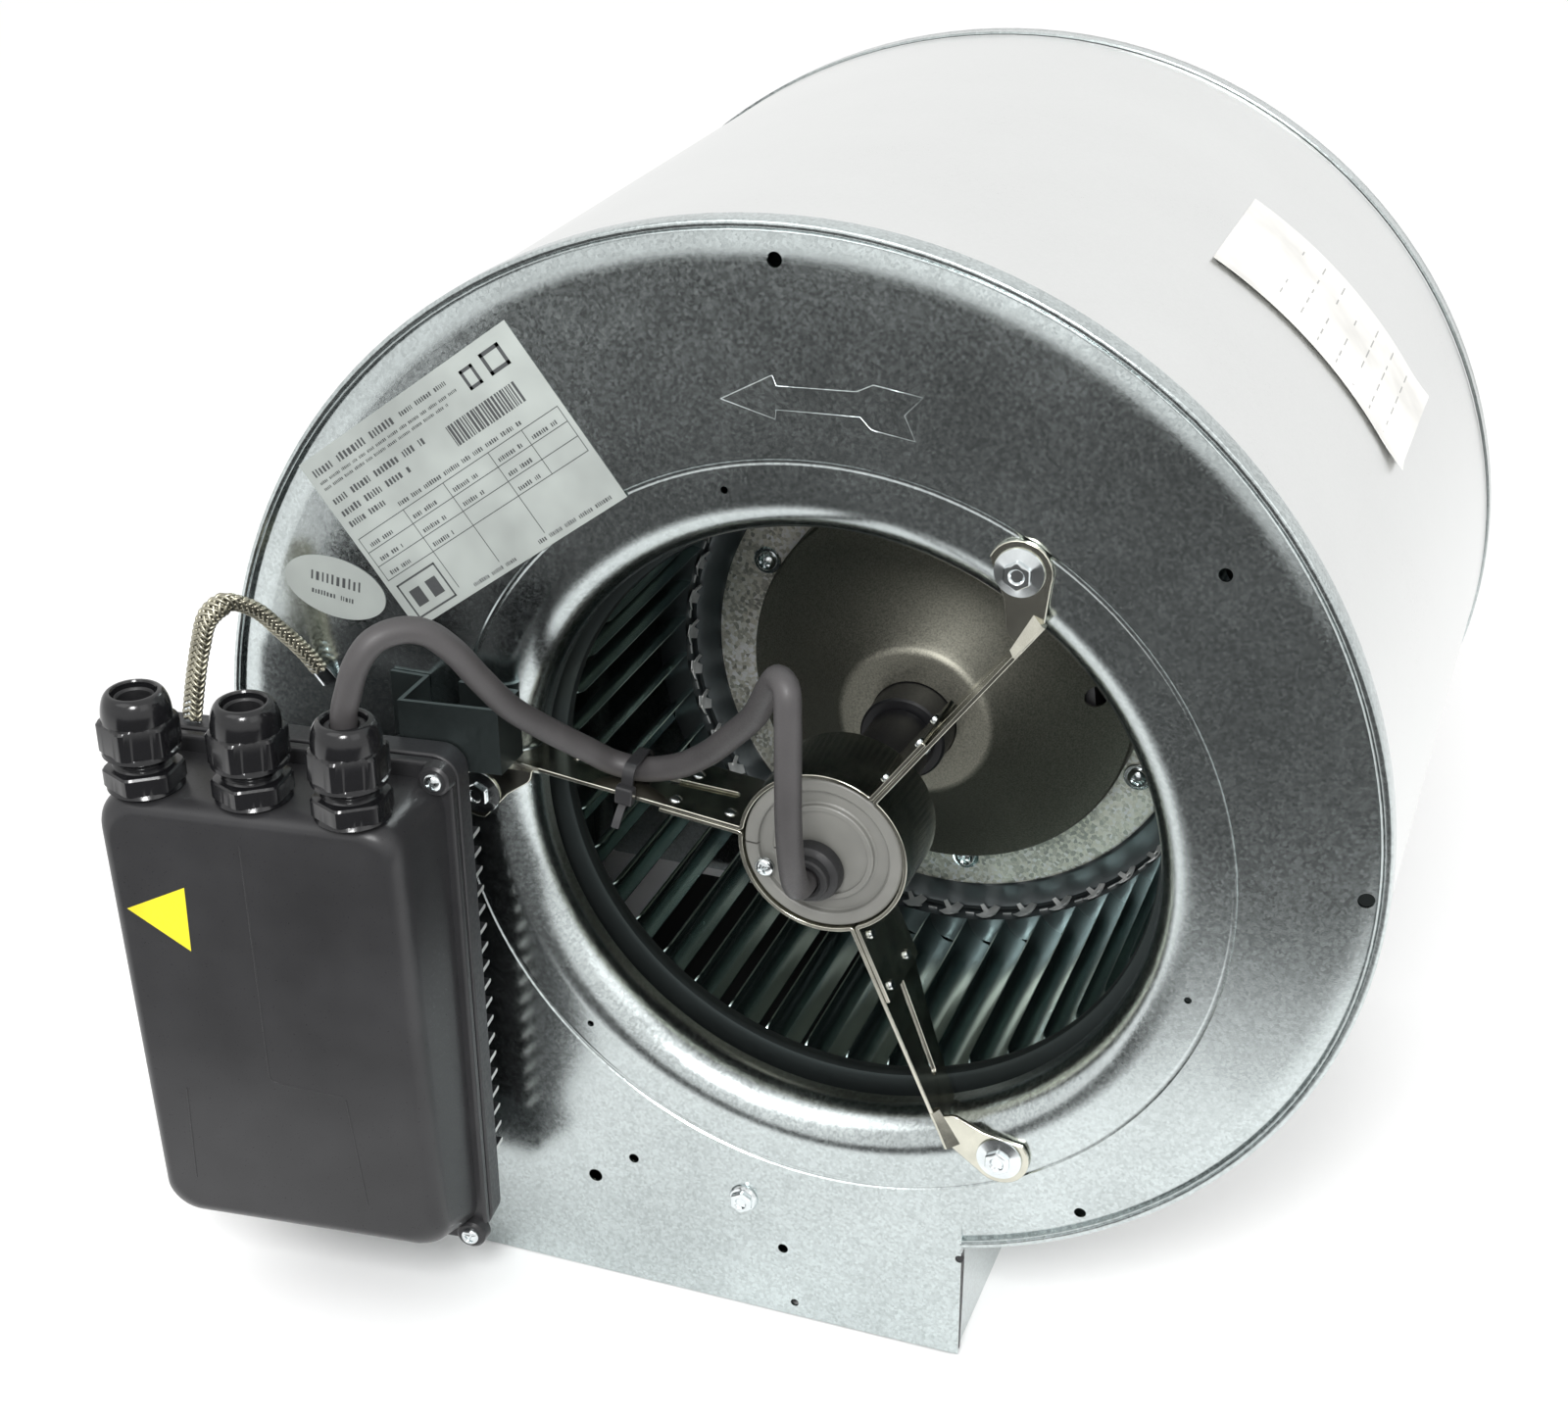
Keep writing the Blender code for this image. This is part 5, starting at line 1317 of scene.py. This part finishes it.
def level_sheet(name, low, high, height, look):
    """A level rectangle between two corners, at a height above the ground."""
    corners = ((low[0], low[1]), (high[0], low[1]), (high[0], high[1]), (low[0], high[1]))
    return piece(name, ([(x, y, OUTLET_BOTTOM + height) for x, y in corners], [[0, 1, 2, 3]]), look, None)


def studio():
    """White floor, a black patch of painted shade on it inside the outlet, the dark card, the sky and three
    lamps.
    """
    floor = level_sheet("studio_floor", (-9000, -9000), (9000, 9000), 0, "floor")
    # painted shade: the floor inside the outlet, where the blower's own shade falls
    level_sheet("outlet_shade", (-175, 8), (44, SPACING - 8), 0.5, "shade")
    card = level_sheet("dark_card", (-1150, -2300), (1500, -190), 3, "card")
    card.visible_camera = False
    card.visible_diffuse = False
    card.visible_shadow = False

    world = bpy.data.worlds.new("studio")
    bpy.context.scene.world = world
    world.use_nodes = True
    background = world.node_tree.nodes["Background"]
    background.inputs["Color"].default_value = (0.99, 0.99, 0.985, 1.0)
    background.inputs["Strength"].default_value = 1.03

    for name, at, aim, size, power in (
        ("key", (-600, -1000, 1500), (0, 100, 0), 1100, 5.0),
        ("fill", (1300, -700, 900), (0, 100, 0), 900, 2.0),
        ("inlet", (170, -860, 720), (0, 100, 30), 260, 9.0),
    ):
        lamp = bpy.data.lights.new(name, "AREA")
        lamp.energy = power
        lamp.size = MM * size
        holder = bpy.data.objects.new(name, lamp)
        holder.location = place(at)
        holder.rotation_euler = (place(aim) - place(at)).to_track_quat("-Z", "Y").to_euler()
        bpy.context.collection.objects.link(holder)
    bpy.context.scene.view_settings.view_transform = "Standard"


def camera():
    data = bpy.data.cameras.new("view")
    data.sensor_width = 36.0
    data.lens = 55.25
    thing = bpy.data.objects.new("view", data)
    right = Vector((0.93802, 0.34653, -0.00605))
    up = Vector((-0.15348, 0.43097, 0.88922))
    back = right.cross(up)
    turn = Matrix((right, up, back)).transposed()
    thing.matrix_world = Matrix.Translation(place((233.89, -666.57, 416.36))) @ turn.to_4x4()
    bpy.context.collection.objects.link(thing)
    bpy.context.scene.camera = thing


def main():
    camera()
    make_materials()
    motor_lead()
    lead_tie()
    housing()
    motor()
    wheel()
    drive_box()
    for number in range(1, len(GLANDS) + 1):
        gland(number)
    earth_braid()
    rating_label()
    oval_sticker()
    wrap_label()
    triangle_sticker()
    studio()


main()
